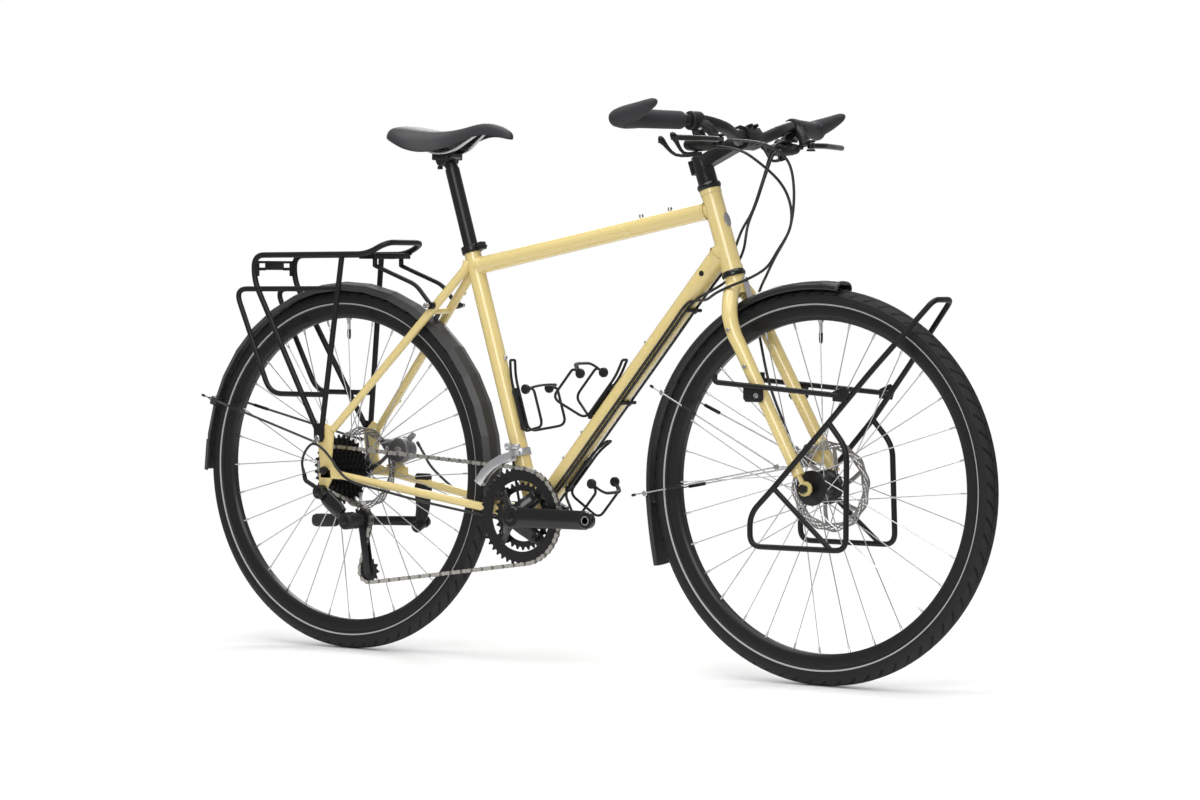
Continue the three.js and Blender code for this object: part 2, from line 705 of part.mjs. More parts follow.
function tyreSolid(centre) {
  const wide = tyre.halfWidth;
  const middle = wheelRadius - wide;
  const bead = rim.halfWidth - rim.flange - gap;
  const foot = rim.seat + gap;
  const profile = [
    [foot, -bead], [rim.outer, -bead], [middle, -wide], [middle + 0.7 * wide, -0.72 * wide],
    [wheelRadius, 0], [middle + 0.7 * wide, 0.72 * wide], [middle, wide], [rim.outer, bead], [foot, bead],
    [foot, -bead],
  ];
  return turned(profile, centre, left, wheelSteps);
}

function rimSolid(centre) {
  const half = rim.halfWidth;
  const lip = half - rim.flange;
  const profile = [
    [rim.inner, -half / 3], [rim.shoulder, -half], [rim.outer, -half], [rim.seat, -lip],
    [rim.seat, lip], [rim.outer, half], [rim.shoulder, half], [rim.inner, half / 3], [rim.inner, -half / 3],
  ].reverse();
  return turned(profile, centre, left, wheelSteps);
}

function spokes(centre, hub) {
  return Array.from({ length: spoke.count }, (_, i) => {
    const onLeft = i % 2;
    const leading = Math.floor(i / 2) % 2;
    const turn = (2 * Math.PI * i) / spoke.count;
    const hubTurn = turn + (leading ? spoke.crossing : -spoke.crossing);
    const flange = onLeft ? hub.leftFlange : -hub.rightFlange;
    const step = (leading ? spoke.innerStep : -spoke.innerStep) * (onLeft ? 1 : -1);
    const root = hub.flangeRadius - 3 * spoke.radius;
    const rimReach = rim.inner * Math.cos(Math.PI / wheelSteps) - gap - spoke.radius;
    const start = at(root * Math.cos(hubTurn), flange + step, root * Math.sin(hubTurn)).add(centre);
    const tipSpread = (onLeft ? 1 : -1) * (rim.halfWidth / 3 - spoke.radius);
    const end = at(rimReach * Math.cos(turn), tipSpread, rimReach * Math.sin(turn)).add(centre);
    return rod(start, end, spoke.radius, 3);
  });
}

function hubSolid(centre, hub) {
  const bore = axle.radius + axle.running;
  const flangeHalf = spoke.innerStep + spoke.radius / 2;
  const profile = [
    [bore, -hub.rightFlange - flangeHalf], [hub.flangeRadius, -hub.rightFlange - flangeHalf],
    [hub.flangeRadius, -hub.rightFlange + flangeHalf], [hub.barrel, -hub.rightFlange + 2 * flangeHalf],
    [hub.barrel, hub.leftFlange - 2 * flangeHalf], [hub.flangeRadius, hub.leftFlange - flangeHalf],
    [hub.flangeRadius, hub.leftFlange + flangeHalf], [disc.hubRadius * 0.8, hub.leftFlange + flangeHalf],
    [disc.hubRadius * 0.8, hub.discSpread - disc.thickness / 2 - gap],
    [disc.hubRadius * 0.45, hub.discSpread - disc.thickness / 2 - gap],
    [disc.hubRadius * 0.45, hub.end], [bore, hub.end], [bore, -hub.rightFlange - flangeHalf],
  ];
  return join(turned(profile, centre, left, 8), spokes(centre, hub));
}

function discSolid(centre, hub) {
  const middle = centre.clone().setY(hub.discSpread);
  const windowInner = disc.hubRadius;
  const windowOuter = disc.radius - disc.rim;
  const windows = Array.from({ length: disc.arms }, (_, i) => {
    const step = (2 * Math.PI) / disc.arms;
    const ray = (radius, share, lean) => {
      const turn = (i + share) * step + lean;
      return [radius * Math.cos(turn), radius * Math.sin(turn)];
    };
    const lean = disc.armWidth / disc.hubRadius;
    return [
      ray(windowInner, 0.15, 0), ray(windowOuter, 0.08, lean), ray(windowOuter, 0.5, lean),
      ray(windowOuter, 0.92, lean), ray(windowInner, 0.85, 0),
    ];
  });
  const bore = circle(clearOf(disc.hubRadius * 0.45, 10), 10);
  return slab(circle(disc.radius, 24), disc.thickness, middle, forward, up, [...windows, bore]);
}

// The axle runs through both dropouts, with collars inside them and nuts outside
function axleSolid(centre, spacing, plateThickness, innerEnds) {
  const inside = spacing / 2 - gap;
  const outside = spacing / 2 + plateThickness + gap;
  const end = outside + axle.nutLength + axle.stub;
  const span = (from, to, radius, faces) => rod(
    centre.clone().setY(from), centre.clone().setY(to), radius, faces);
  return join(
    span(-end, end, axle.radius, 8),
    span(-outside - axle.nutLength, -outside, axle.nut, 6),
    span(outside, outside + axle.nutLength, axle.nut, 6),
    span(-inside, -innerEnds.right - gap, axle.collar, 8),
    span(innerEnds.left + gap, inside, axle.collar, 8),
  );
}

const cassette = { largestSpread: 25, pitch: 4.35, thickness: 1.9, bodyRadius: 17, lockRadius: 14, lock: 4 };
const cogTeeth = [32, 28, 25, 22, 19, 17, 15, 13, 11];
const drivenCog = 3;
const cassetteEnd = cassette.largestSpread + cassette.pitch * (cogTeeth.length - 1) + cassette.lock;
const forkDropout = { thickness: 6 };

piece('rear_tyre', 'rubber', tyreSolid(rearAxleCentre));
piece('rear_rim', 'black', rimSolid(rearAxleCentre));
piece('rear_hub', 'steel', hubSolid(rearAxleCentre, rearHub));
piece('rear_brake_disc', 'steel', discSolid(rearAxleCentre, rearHub));
piece('rear_axle', 'steel', axleSolid(rearAxleCentre, rearDropoutSpacing, dropout.thickness,
  { right: cassetteEnd, left: rearHub.end }));
piece('front_tyre', 'rubber', tyreSolid(frontAxleCentre));
piece('front_rim', 'black', rimSolid(frontAxleCentre));
piece('front_hub', 'steel', hubSolid(frontAxleCentre, frontHub));
piece('front_brake_disc', 'steel', discSolid(frontAxleCentre, frontHub));
piece('front_axle', 'steel', axleSolid(frontAxleCentre, frontDropoutSpacing, forkDropout.thickness,
  { right: frontHub.rightFlange + 2 * spoke.innerStep, left: frontHub.end }));

// Cassette: nine toothed cogs on a body that turns about the axle
function cassetteSolid() {
  const cogs = cogTeeth.map((teeth, i) => {
    const centre = rearAxleCentre.clone().setY(-(cassette.largestSpread + cassette.pitch * i));
    return slab(circle(pitchRadius(teeth) + toothRise / 2, 12), cassette.thickness, centre, forward, up);
  });
  const start = cassette.largestSpread - cassette.pitch / 2;
  const bore = axle.radius + axle.running;
  const profile = [
    [0, start], [cassette.bodyRadius, start], [cassette.bodyRadius, cassetteEnd - cassette.lock],
    [cassette.lockRadius, cassetteEnd], [0, cassetteEnd],
  ];
  const body = turned(profile, rearAxleCentre, left.clone().negate(), 6);
  const hole = rod(
    rearAxleCentre.clone().setY(-start + overrun), rearAxleCentre.clone().setY(-cassetteEnd - overrun),
      bore, 8);
  return cut(join(body, cogs), hole);
}
piece('cassette', 'black', cassetteSolid());

// Rear derailleur: mount on the hanger, swinging link, lower knuckle, cage and two pulleys
const pulley = { teeth: 11, thickness: 2.2, bore: 3 };
const guideCentre = { ahead: 62, height: 255 };
const tensionCentre = { ahead: 78, height: 157 };
const cogSpread = cassette.largestSpread + cassette.pitch * drivenCog;
const cageSide = { thickness: 2, inset: 4.7, width: 15, pin: 2.6 };
const mount = { radius: 10, thickness: 9.5, barrelRadius: 4.5 };
const mountInner = dropoutSpread + dropout.thickness / 2 + gap;
const mountOuter = mountInner + mount.thickness;
const link = { width: 16, thickness: 9 };
const knuckleRadius = 14;
const knuckleInner = cogSpread + cageSide.inset + cageSide.thickness / 2 + gap;
const linkTop = at(6, 0, 298);
const linkFoot = at(guideCentre.ahead, 0, guideCentre.height);

// The housing's last two points, from which the adjuster barrel takes its place
const shiftCableEnd = { x: -45, spread: 84, z: 343, aboveX: -48, aboveSpread: 86, aboveZ: 363, barrel: 14 };

function derailleurMount() {
  const centre = at(-hanger.back, 0, hanger.height);
  const body = rod(centre.clone().setY(-mountInner), centre.clone().setY(-mountOuter), mount.radius, 12);
  const middle = -(mountInner + mountOuter) / 2;
  const direction = linkTop.clone().sub(centre);
  const reach = direction.length() - link.width / 2 - 8 * gap;
  direction.normalize();
  const across = at(-direction.z, 0, direction.x);
  const arm = block(along(centre, direction, reach / 2).setY(middle), reach, mountOuter - mountInner,
    2 * mount.radius * 0.8, direction, across);
  const cableEnd = at(shiftCableEnd.x, -shiftCableEnd.spread, shiftCableEnd.z);
  const above = at(shiftCableEnd.aboveX, -shiftCableEnd.aboveSpread, shiftCableEnd.aboveZ);
  const downward = cableEnd.clone().sub(above).normalize();
  const barrelFoot = along(cableEnd, downward, shiftCableEnd.barrel);
  return join(
    body,
    arm,
    rod(along(cableEnd, downward, gap), barrelFoot, mount.barrelRadius, 8),
    rod(barrelFoot, centre.clone().setY(middle), mount.barrelRadius, 8),
  );
}
piece('derailleur_mount', 'black', derailleurMount());
const linkLine = linkFoot.clone().sub(linkTop);
const linkLength = linkLine.length();
linkLine.normalize();
const linkAcross = at(-linkLine.z, 0, linkLine.x);
const linkSpread = (mountInner + mountOuter) / 2;
const linkReach = linkLength - knuckleRadius - link.width / 2 - 2 * gap;

function derailleurLink() {
  const start = linkTop.clone().setY(-linkSpread);
  const body = block(along(start, linkLine, linkReach / 2 - link.width / 4), linkReach + link.width / 2,
    link.thickness, link.width * 1.5, linkLine, linkAcross);
  return body;
}
piece('derailleur_link', 'black', derailleurLink());

function derailleurKnuckle() {
  const centre = linkFoot.clone();
  const barrel = rod(centre.clone().setY(-knuckleInner), centre.clone().setY(-linkSpread),
    knuckleRadius, 12);
  return barrel;
}
piece('derailleur_knuckle', 'black', derailleurKnuckle());

function derailleurCage() {
  const top = at(guideCentre.ahead, 0, guideCentre.height);
  const foot = at(tensionCentre.ahead, 0, tensionCentre.height);
  const line = foot.clone().sub(top);
  const length = line.length();
  line.normalize();
  const across = at(-line.z, 0, line.x);
  const plate = (spread) => {
    const middle = between(top, foot, 0.5).setY(-spread);
    return block(middle, length + cageSide.width, cageSide.thickness, cageSide.width, line, across);
  };
  const pins = [top, foot].map((centre) => rod(
    centre.clone().setY(-(cogSpread - cageSide.inset)), centre.clone().setY(-(cogSpread + cageSide.inset)),
    cageSide.pin, 8));
  return join(plate(cogSpread - cageSide.inset), plate(cogSpread + cageSide.inset), pins);
}
piece('derailleur_cage', 'black', derailleurCage());

function pulleySolid(place) {
  const centre = at(place.ahead, -cogSpread, place.height);
  const plate = slab(toothed(pulley.teeth), pulley.thickness, centre, forward, up);
  const ends = overrun + pulley.thickness;
  return cut(plate, rod(
    centre.clone().setY(centre.y - ends), centre.clone().setY(centre.y + ends), pulley.bore, 8));
}
piece('guide_pulley', 'plastic', pulleySolid(guideCentre));
piece('tension_pulley', 'plastic', pulleySolid(tensionCentre));

// Chain: two rows of side plates around ring, cog and pulleys, pinned where it runs free
const chainHalf = 4.1;
const chainPlate = { inner: 1.9, thickness: 1.1, rollerRadius: 3.2 };
const chainWheels = [
  { x: bottomBracketAhead, z: bottomBracketHeight, radius: pitchRadius(bigRing.teeth), way: 1 },
  { x: 0, z: wheelRadius, radius: pitchRadius(cogTeeth[drivenCog]), way: 1 },
  { x: guideCentre.ahead, z: guideCentre.height, radius: pitchRadius(pulley.teeth), way: -1 },
  { x: tensionCentre.ahead, z: tensionCentre.height, radius: pitchRadius(pulley.teeth), way: 1 },
];

// The tangent points of a belt that leaves wheel a and meets wheel b
function tangent(a, b, offset) {
  const ra = a.way * (a.radius + a.way * offset);
  const rb = b.way * (b.radius + b.way * offset);
  const dx = b.x - a.x;
  const dz = b.z - a.z;
  const distance = Math.hypot(dx, dz);
  const heading = Math.atan2(dz, dx);
  const lean = Math.asin((ra - rb) / distance);
  const normal = heading - lean - Math.PI / 2 + 2 * lean;
  return { leave: normal, meet: normal, ra, rb };
}

function chainLoop(offset) {
  const count = chainWheels.length;
  const points = [];
  for (let i = 0; i < count; i += 1) {
    const before = chainWheels[(i + count - 1) % count];
    const here = chainWheels[i];
    const after = chainWheels[(i + 1) % count];
    const start = tangent(before, here, offset).meet;
    const end = tangent(here, after, offset).leave;
    const radius = here.way * (here.radius + here.way * offset);
    let sweepAngle = end - start;
    while (here.way > 0 && sweepAngle < 0) sweepAngle += 2 * Math.PI;
    while (here.way < 0 && sweepAngle > 0) sweepAngle -= 2 * Math.PI;
    const steps = Math.max(4, Math.round(Math.abs(sweepAngle) / 0.28));
    for (let k = 0; k <= steps; k += 1) {
      const turn = start + (sweepAngle * k) / steps;
      points.push([here.x + radius * Math.cos(turn), here.z + radius * Math.sin(turn)]);
    }
  }
  return points;
}

// The points where a straight run leaves one wheel and meets the next
function runBetween(a, b) {
  const line = tangent(a, b, 0);
  return [
    [a.x + line.ra * Math.cos(line.leave), a.z + line.ra * Math.sin(line.leave)],
    [b.x + line.rb * Math.cos(line.meet), b.z + line.rb * Math.sin(line.meet)],
  ];
}
const upperRun = runBetween(chainWheels[0], chainWheels[1]);
const lowerRun = runBetween(chainWheels[3], chainWheels[0]);

// Both runs lean sideways from the ring's line to the cog's line
function chainSpread(x, z) {
  const above = z > (wheelRadius + bottomBracketHeight) / 2;
  const rearX = above ? upperRun[1][0] : lowerRun[0][0];
  const frontX = above ? upperRun[0][0] : lowerRun[1][0];
  const share = THREE.MathUtils.clamp((x - rearX) / (frontX - rearX), 0, 1);
  return -THREE.MathUtils.lerp(cogSpread, bigRing.chainline, share);
}

function chainSolid() {
  const outer = chainLoop(chainHalf);
  const inner = chainLoop(-chainHalf);
  const band = (spread) => {
    const solid = slab(outer, chainPlate.thickness, at(0, spread, 0), forward, up, [inner]);
    return solid;
  };
  const bandSpread = chainPlate.inner + chainPlate.thickness / 2;
  const plates = join(band(bandSpread), band(-bandSpread));
  const pins = [];
  const pin = (x, z) => pins.push(rod(at(x, -bandSpread, z), at(x, bandSpread, z),
    chainPlate.rollerRadius, 4));
  for (const [start, end] of [upperRun, lowerRun]) {
    const length = Math.hypot(end[0] - start[0], end[1] - start[1]);
    const pinCount = Math.floor(length / (3 * chainPitch));
    for (let k = 1; k < pinCount; k += 1) {
      const share = k / pinCount;
      pin(start[0] + (end[0] - start[0]) * share, start[1] + (end[1] - start[1]) * share);
    }
  }
  const geometry = geometryOf(join(plates, pins));
  const position = geometry.attributes.position;
  for (let i = 0; i < position.count; i += 1) {
    position.setY(i, position.getY(i) + chainSpread(position.getX(i), position.getZ(i)));
  }
  return solidOf(geometry);
}
piece('chain', 'steel', chainSolid());

// Fork: steerer, crown, two legs that lean forward to the dropouts, and its bosses
const crown = { radius: 18, height: 695, legSpread: 20 };
const leg = { radius: 14, footRadius: 11, shoulderHeight: 655, shoulderSpread: 48 };
const legKnee = { height: 628, spread: 55 };
const legFoot = { behind: 8, above: 23, spread: 60 };
const forkEar = { radius: 13, thickness: forkDropout.thickness };
const rackBoss = { height: 511, radius: 6.5, spread: 72.5 };
const spareForkBoss = { radius: 4.5, reach: 15, upperShare: 0.01, lowerShare: 0.24 };
const frontLug = { length: 34, width: 6, height: 24, ahead: -42, up: 52, outerSpread: 56 };

function legAt(side, height) {
  const knee = onSteer(legKnee.height);
  const foot = at(wheelbase - legFoot.behind, 0, wheelRadius + legFoot.above);
  const share = (knee.z - height) / (knee.z - foot.z);
  return between(knee.setY(side * legKnee.spread), foot.setY(side * legFoot.spread), share);
}

function legRadiusAt(height) {
  const foot = wheelRadius + legFoot.above;
  return THREE.MathUtils.mapLinear(height, legKnee.height, foot, leg.radius, leg.footRadius);
}

function forkFoot(side) {
  const knee = legAt(side, legKnee.height);
  const foot = legAt(side, wheelRadius + legFoot.above);
  const ear = frontAxleCentre.clone().setY(side * (frontDropoutSpacing + forkEar.thickness) / 2);
  const half = forkEar.thickness / 2;
  const plate = rod(ear.clone().setY(ear.y - half), ear.clone().setY(ear.y + half), forkEar.radius, 8);
  const strap = block(between(ear, foot.clone().setY(ear.y), 0.5), 2 * leg.footRadius, forkEar.thickness,
    foot.z - ear.z + leg.footRadius);
  return join(rod(knee, foot, leg.radius, 8, leg.footRadius), plate, strap);
}

function forkArch() {
  const corners = (side) => [
    onSteer(crown.height).setY(side * crown.legSpread),
    onSteer(leg.shoulderHeight).setY(side * leg.shoulderSpread),
    legAt(side, legKnee.height),
    legAt(side, legKnee.height - leg.radius),
  ];
  return tube([...corners(-1).reverse(), ...corners(1)], leg.radius, 2 * leg.radius, 8, 1);
}

function forkSolid() {
  const crownTop = along(lowerCupFoot, steerUp, -cup.height - gap);
  const crownFoot = onSteer(crown.height);
  const steererTop = onSteer(stem.height - stem.capHeight - gap);
  const bosses = sides.map((side) => {
    const middle = legAt(side, rackBoss.height);
    const span = (height, radius, reach) => {
      const start = legAt(side, height);
      return rod(start, start.clone().setY(start.y + side * reach), radius, smallFaces);
    };
    const small = [spareForkBoss.upperShare, spareForkBoss.lowerShare].map((share) => span(
      THREE.MathUtils.lerp(legKnee.height, wheelRadius, share), spareForkBoss.radius, spareForkBoss.reach));
    return [rod(middle, middle.clone().setY(side * rackBoss.spread), rackBoss.radius, smallFaces), small];
  });
  const lugCentre = at(wheelbase + frontLug.ahead, frontLug.outerSpread - frontLug.width / 2,
    wheelRadius + frontLug.up);
  const ends = frontDropoutSpacing;
  return cut(
    join(
      rod(crownFoot, crownTop, crown.radius, mainFaces),
      rod(crownFoot, steererTop, steerer.radius, 8),
      forkArch(),
      sides.map(forkFoot),
      bosses,
      block(lugCentre, frontLug.length, frontLug.width, frontLug.height),
    ),
    rod(frontAxleCentre.clone().setY(-ends), frontAxleCentre.clone().setY(ends), dropout.axleHole, 8),
  );
}

// Stem: a riser around the steerer, an extension and a bar clamp
const stem = { radius: 18, height: 935, reach: 103, rise: -2.6, width: 26, capHeight: 4 };
const barClamp = { radius: 22, halfWidth: 22 };
const stemDepth = { rootLow: 26, rootHigh: 16, tip: 12 };
const pinch = { reach: 26, width: 12, low: 28, high: 2 };
const stemTop = onSteer(stem.height);
const barCentre = along(along(stemTop, steerOut, stem.reach), steerUp, stem.rise);
const bar = { clampRadius: 15.9, clampHalf: 26, radius: 11.1, halfLength: 303, rise: 24, back: 50,
  forwardBow: 10 };

function stemSolid() {
  const foot = along(upperCupFoot, steerUp, cup.height + gap);
  const outline = [
    [0, -stemDepth.rootLow],
    [stem.reach, stem.rise - stemDepth.tip],
    [stem.reach, stem.rise + stemDepth.tip],
    [0, stemDepth.rootHigh - stem.radius],
  ];
  const lug = [
    [-pinch.reach, -pinch.low],
    [0, -pinch.low],
    [0, pinch.high - stem.capHeight],
    [-pinch.reach, pinch.high - stem.capHeight],
  ];
  const ends = barClamp.halfWidth + overrun;
  return cut(
    join(
      rod(foot, stemTop, stem.radius, mainFaces),
      slab(outline, stem.width, stemTop, steerOut, steerUp),
      slab(lug, pinch.width, stemTop, steerOut, steerUp),
      rod(
        barCentre.clone().setY(-barClamp.halfWidth), barCentre.clone().setY(barClamp.halfWidth),
        barClamp.radius, mainFaces),
    ),
    rod(along(foot, steerUp, -overrun), along(stemTop, steerUp, -stem.capHeight),
      clearOf(steerer.radius, mainFaces), mainFaces),
    rod(barCentre.clone().setY(-ends), barCentre.clone().setY(ends), bar.clampRadius + gap, 16),
  );
}
piece('fork', 'cream', forkSolid());
piece('stem', 'black', stemSolid());

// Handlebar: a straight clamp zone, a rise, then a backward sweep to the grips
const barSpreadShares = [0.15, 0.28, 0.43, 0.58, 0.8, 1];
const barAheadShares = [0.5, 1, 0.1, -0.6];
const barRiseShares = [0.08, 0.62, 1, 1, 1, 1];

function barPoint(side, i) {
  const spread = (side * barSpreadShares[i] * handlebarWidth) / 2;
  const last = barSpreadShares.length - 1;
  const bow = i < 3
    ? barAheadShares[i] * bar.forwardBow
    : THREE.MathUtils.mapLinear(i === 3 ? 0 : barSpreadShares[i] - barSpreadShares[3], 0,
      barSpreadShares[last] - barSpreadShares[3], -bar.back / 5, -bar.back);
  return barCentre.clone().add(at(bow, spread, barRiseShares[i] * bar.rise));
}

function barAt(side, spread) {
  const points = barSpreadShares.map((_, i) => barPoint(1, i));
  let i = 0;
  while (i < points.length - 2 && points[i + 1].y < spread) i += 1;
  const point = between(points[i], points[i + 1], (spread - points[i].y) / (points[i + 1].y - points[i].y));
  return point.setY(side * point.y);
}

function handlebarSolid() {
  const zone = rod(
    barCentre.clone().setY(-bar.clampHalf), barCentre.clone().setY(bar.clampHalf), bar.clampRadius, 12);
  const halves = sides.map((side) => {
    const points = [barCentre.clone().setY(side * bar.clampHalf)];
    for (let i = 0; i < barSpreadShares.length - 2; i += 1) points.push(barPoint(side, i));
    points.push(barAt(side, bar.halfLength));
    const start = barCentre.clone();
    return sweep(circle(bar.radius, 8), [start, ...points]);
  });
  return join(zone, halves);
}
piece('handlebar', 'satin', handlebarSolid());

// Grips: a thick sleeve, a closed end and a short horn that points forward and up
const grip = { radius: 16, innerSpread: 192, wing: 14, wingThickness: 9 };
const horn = { radius: 9, length: 66, rise: 30, tipRadius: 7.5 };

function gripSolid(side) {
  const inner = barAt(side, grip.innerSpread);
  const barEnd = barAt(side, bar.halfLength);
  const line = barEnd.clone().sub(inner).normalize();
  const outer = along(barEnd, line, gap + horn.radius);
  const sleeve = rod(inner, outer, grip.radius, 8);
  const back = new THREE.Vector3().crossVectors(line, up).multiplyScalar(-side).normalize();
  const wingCentre = along(between(inner, outer, 0.62), back, -grip.radius);
  const wing = block(wingCentre, (outer.distanceTo(inner)) * 0.7, grip.wingThickness, grip.wing * 2, line,
    back);
  const root = outer.clone().setY(side * (handlebarWidth / 2 - horn.radius));
  const tip = root.clone().add(at(horn.length, 0, horn.rise));
  const bore = rod(along(inner, line, -overrun), along(barEnd, line, gap), bar.radius + gap, 8);
  return cut(
    join(sleeve, wing, rod(along(root, line, -horn.radius), root, grip.radius, 8),
      rod(along(root, forward, -horn.radius), tip, horn.radius, 8, horn.tipRadius)),
    bore,
  );
}
piece('grip_right', 'rubber', gripSolid(-1));
piece('grip_left', 'rubber', gripSolid(1));

// Brake lever perches with shifter pods, the levers and their thumb triggers
const perch = { spread: 163, width: 24, radius: 16.5, pivotAhead: 45, pivotDrop: 34, pivotSpread: 150 };
const leverPivot = { radius: 7, height: 11, pin: 2.5, bore: 2.8, plateRadius: 8, plate: 4, web: 8 };
const pod = { ahead: -4, length: 68, innerSpread: 119, outerSpread: 151, depth: 24, drop: 46 };
const lever = { length: 122, radius: 5.5, bow: 12, back: 8 };
const trigger = { hubRadius: 7, thickness: 3, pin: 2.4, bore: 2.7, arm: 2.6 };
const triggerPivot = { ahead: -11, spread: 138 };
const upperPaddle = { back: 28, out: 32, rise: 26, size: 12 };
const lowerPaddle = { back: 55, out: 30, rise: 24, size: 13 };
const adjuster = { radius: 4, length: 18 };

function pivotOf(side) {
  const middle = barAt(side, perch.spread);
  return middle.add(at(perch.pivotAhead, 0, -perch.pivotDrop)).setY(side * perch.pivotSpread);
}

function podCentre(side) {
  const middle = barAt(side, (pod.innerSpread + pod.outerSpread) / 2);
  return middle.add(at(pod.ahead, 0, -pod.drop));
}

function triggerHub(side) {
  const centre = podCentre(side);
  return centre.add(at(triggerPivot.ahead, 0, -pod.depth / 2 - gap)).setY(side * triggerPivot.spread);
}

function controlsSolid(side, exits) {
  const clampCentre = barAt(side, perch.spread);
  const line = barAt(side, perch.spread + perch.width).sub(clampCentre).normalize();
  const start = along(clampCentre, line, -perch.width / 2);
  const end = along(clampCentre, line, perch.width / 2);
  const pivot = pivotOf(side);
  const reach = leverPivot.height / 2 + gap;
  const upperPlate = rod(
    pivot.clone().add(at(0, 0, reach)), pivot.clone().add(at(0, 0, reach + leverPivot.plate)),
    leverPivot.plateRadius, 8);
  const lowerPlate = rod(
    pivot.clone().add(at(0, 0, -reach - leverPivot.plate)), pivot.clone().add(at(0, 0, -reach)),
    leverPivot.plateRadius, 8);
  const stack = 2 * (reach + leverPivot.plate);
  const webBack = leverPivot.radius + 3 * gap + leverPivot.web / 2;
  const web = block(pivot.clone().add(at(-webBack, -side * leverPivot.plateRadius / 2, 0)), leverPivot.web,
    leverPivot.plateRadius, stack);
  const tongue = (lift) => block(
    pivot.clone().add(at(-webBack / 2, -side * leverPivot.plateRadius / 2, lift)), webBack,
    leverPivot.plateRadius, leverPivot.plate);
  const pin = rod(pivot.clone().add(at(0, 0, -reach)), pivot.clone().add(at(0, 0, reach)),
    leverPivot.pin, 6);
  const neckFoot = pivot.clone().add(at(-webBack / 2, -side * leverPivot.plateRadius / 2,
    reach + leverPivot.plate + 4 * gap));
  const centre = podCentre(side);
  const housing = block(centre, pod.length, pod.outerSpread - pod.innerSpread, pod.depth);
  const podLink = rod(clampCentre, centre, leverPivot.plateRadius, 6);
  const hubTop = triggerHub(side);
  const pinLength = 2 * trigger.thickness + 2 * gap;
  const triggerPin = rod(
    hubTop.clone().add(at(0, 0, overrun)), hubTop.clone().add(at(0, 0, -pinLength)), trigger.pin, 6);
  const plateTop = pivot.clone().add(at(0, 0, reach + leverPivot.plate + gap));
  const barrels = exits.map(([from, toward]) => {
    const direction = toward.clone().sub(from).normalize();
    const back = along(from, direction, -adjuster.length);
    const root = back.distanceTo(plateTop) < back.distanceTo(centre) ? plateTop : centre;
    return [rod(back, along(from, direction, -gap), adjuster.radius, 6),
      rod(back, root, adjuster.radius, 5)];
  });
  return cut(
    join(
      rod(start, end, perch.radius, 10),
      rod(clampCentre, neckFoot, leverPivot.web * 0.75, 6),
      upperPlate, lowerPlate, web, tongue(reach + leverPivot.plate / 2),
        tongue(-reach - leverPivot.plate / 2),
      pin, housing, podLink, triggerPin, barrels,
    ),
    rod(along(start, line, -3 * perch.width), along(end, line, 3 * perch.width), bar.radius + gap, 8),
  );
}

function leverSolid(side) {
  const pivot = pivotOf(side);
  const barrel = rod(
    pivot.clone().add(at(0, 0, -leverPivot.height / 2)), pivot.clone().add(at(0, 0, leverPivot.height / 2)),
    leverPivot.radius, 10);
  const point = (ahead, spreadShare) => pivot.clone().add(at(ahead, side * spreadShare * lever.length, 0));
  const blade = tube([
    point(0, 0.01), point(lever.bow, 0.22), point(lever.bow / 3, 0.6), point(-lever.back, 1),
  ], lever.radius, 3 * lever.radius, 6, 2);
  const bore = rod(
    pivot.clone().add(at(0, 0, -leverPivot.height)), pivot.clone().add(at(0, 0, leverPivot.height)),
    leverPivot.bore, 8);
  return cut(join(barrel, blade), bore);
}

function triggerSolid(side, paddle, level) {
  const hub = triggerHub(side).add(at(0, 0, -level * (trigger.thickness + gap)));
  const foot = hub.clone().add(at(0, 0, -trigger.thickness));
  const middle = between(hub, foot, 0.5);
  const place = (share, rise) => middle.clone().add(
    at(-paddle.back * share, side * paddle.out * share, rise));
  const arm = tube([middle, place(0.62, 0), place(1, paddle.rise)], trigger.arm / 1.8, 3 * trigger.arm,
    5, 1);
  const pad = block(place(1, paddle.rise), paddle.size, trigger.arm * 2, paddle.size * 0.8);
  const bore = rod(hub.clone().add(at(0, 0, overrun)), foot.clone().add(at(0, 0, -overrun)),
    trigger.bore, 8);
  return cut(join(rod(hub, foot, trigger.hubRadius, 8), arm, pad), bore);
}

// Cable routes, chosen by hand along the real runs
const frontBrakeRoute = [
  [949, -115, 956], [983, -100, 954], [1016, -85, 945], [1037, -55, 918], [1027, -20, 866], [1003, 5, 804],
  [956, 30, 752], [925, 52, 722], [900, 66, 690], [892, 70, 650], [900, 68, 611], [925, 62, 525],
  [962, 56, 450], [980, 52, 415],
];
const rearShiftRoute = [
  [926, -110, 945], [953, -98, 941], [979, -85, 928], [1019, -60, 887], [1031, -40, 847], [1019, -20, 804],
  [988, -14, 762], [969, -20, 734], [937, -28, 715], [905, -37, 702], [876, -38, 690], [848, -28, 678],
  [820, -21, 676], [797, -19.5, 667], [749, -19, 611], [555, -19, 383], [487, -19, 303], [474, -20, 269],
  [464, -20, 256], [449, -20, 251], [436, -20, 253], [420, -22, 257], [385, -28, 268], [352, -35, 275],
  [310, -46, 282], [221, -61, 298], [141, -69, 314], [70, -80, 331], [40, -83, 352], [24, -84, 372],
  [2, -88, 394], [-21, -88, 400], [-39, -88, 384],
  [shiftCableEnd.aboveX, -shiftCableEnd.aboveSpread, shiftCableEnd.aboveZ],
  [shiftCableEnd.x, -shiftCableEnd.spread, shiftCableEnd.z],
];
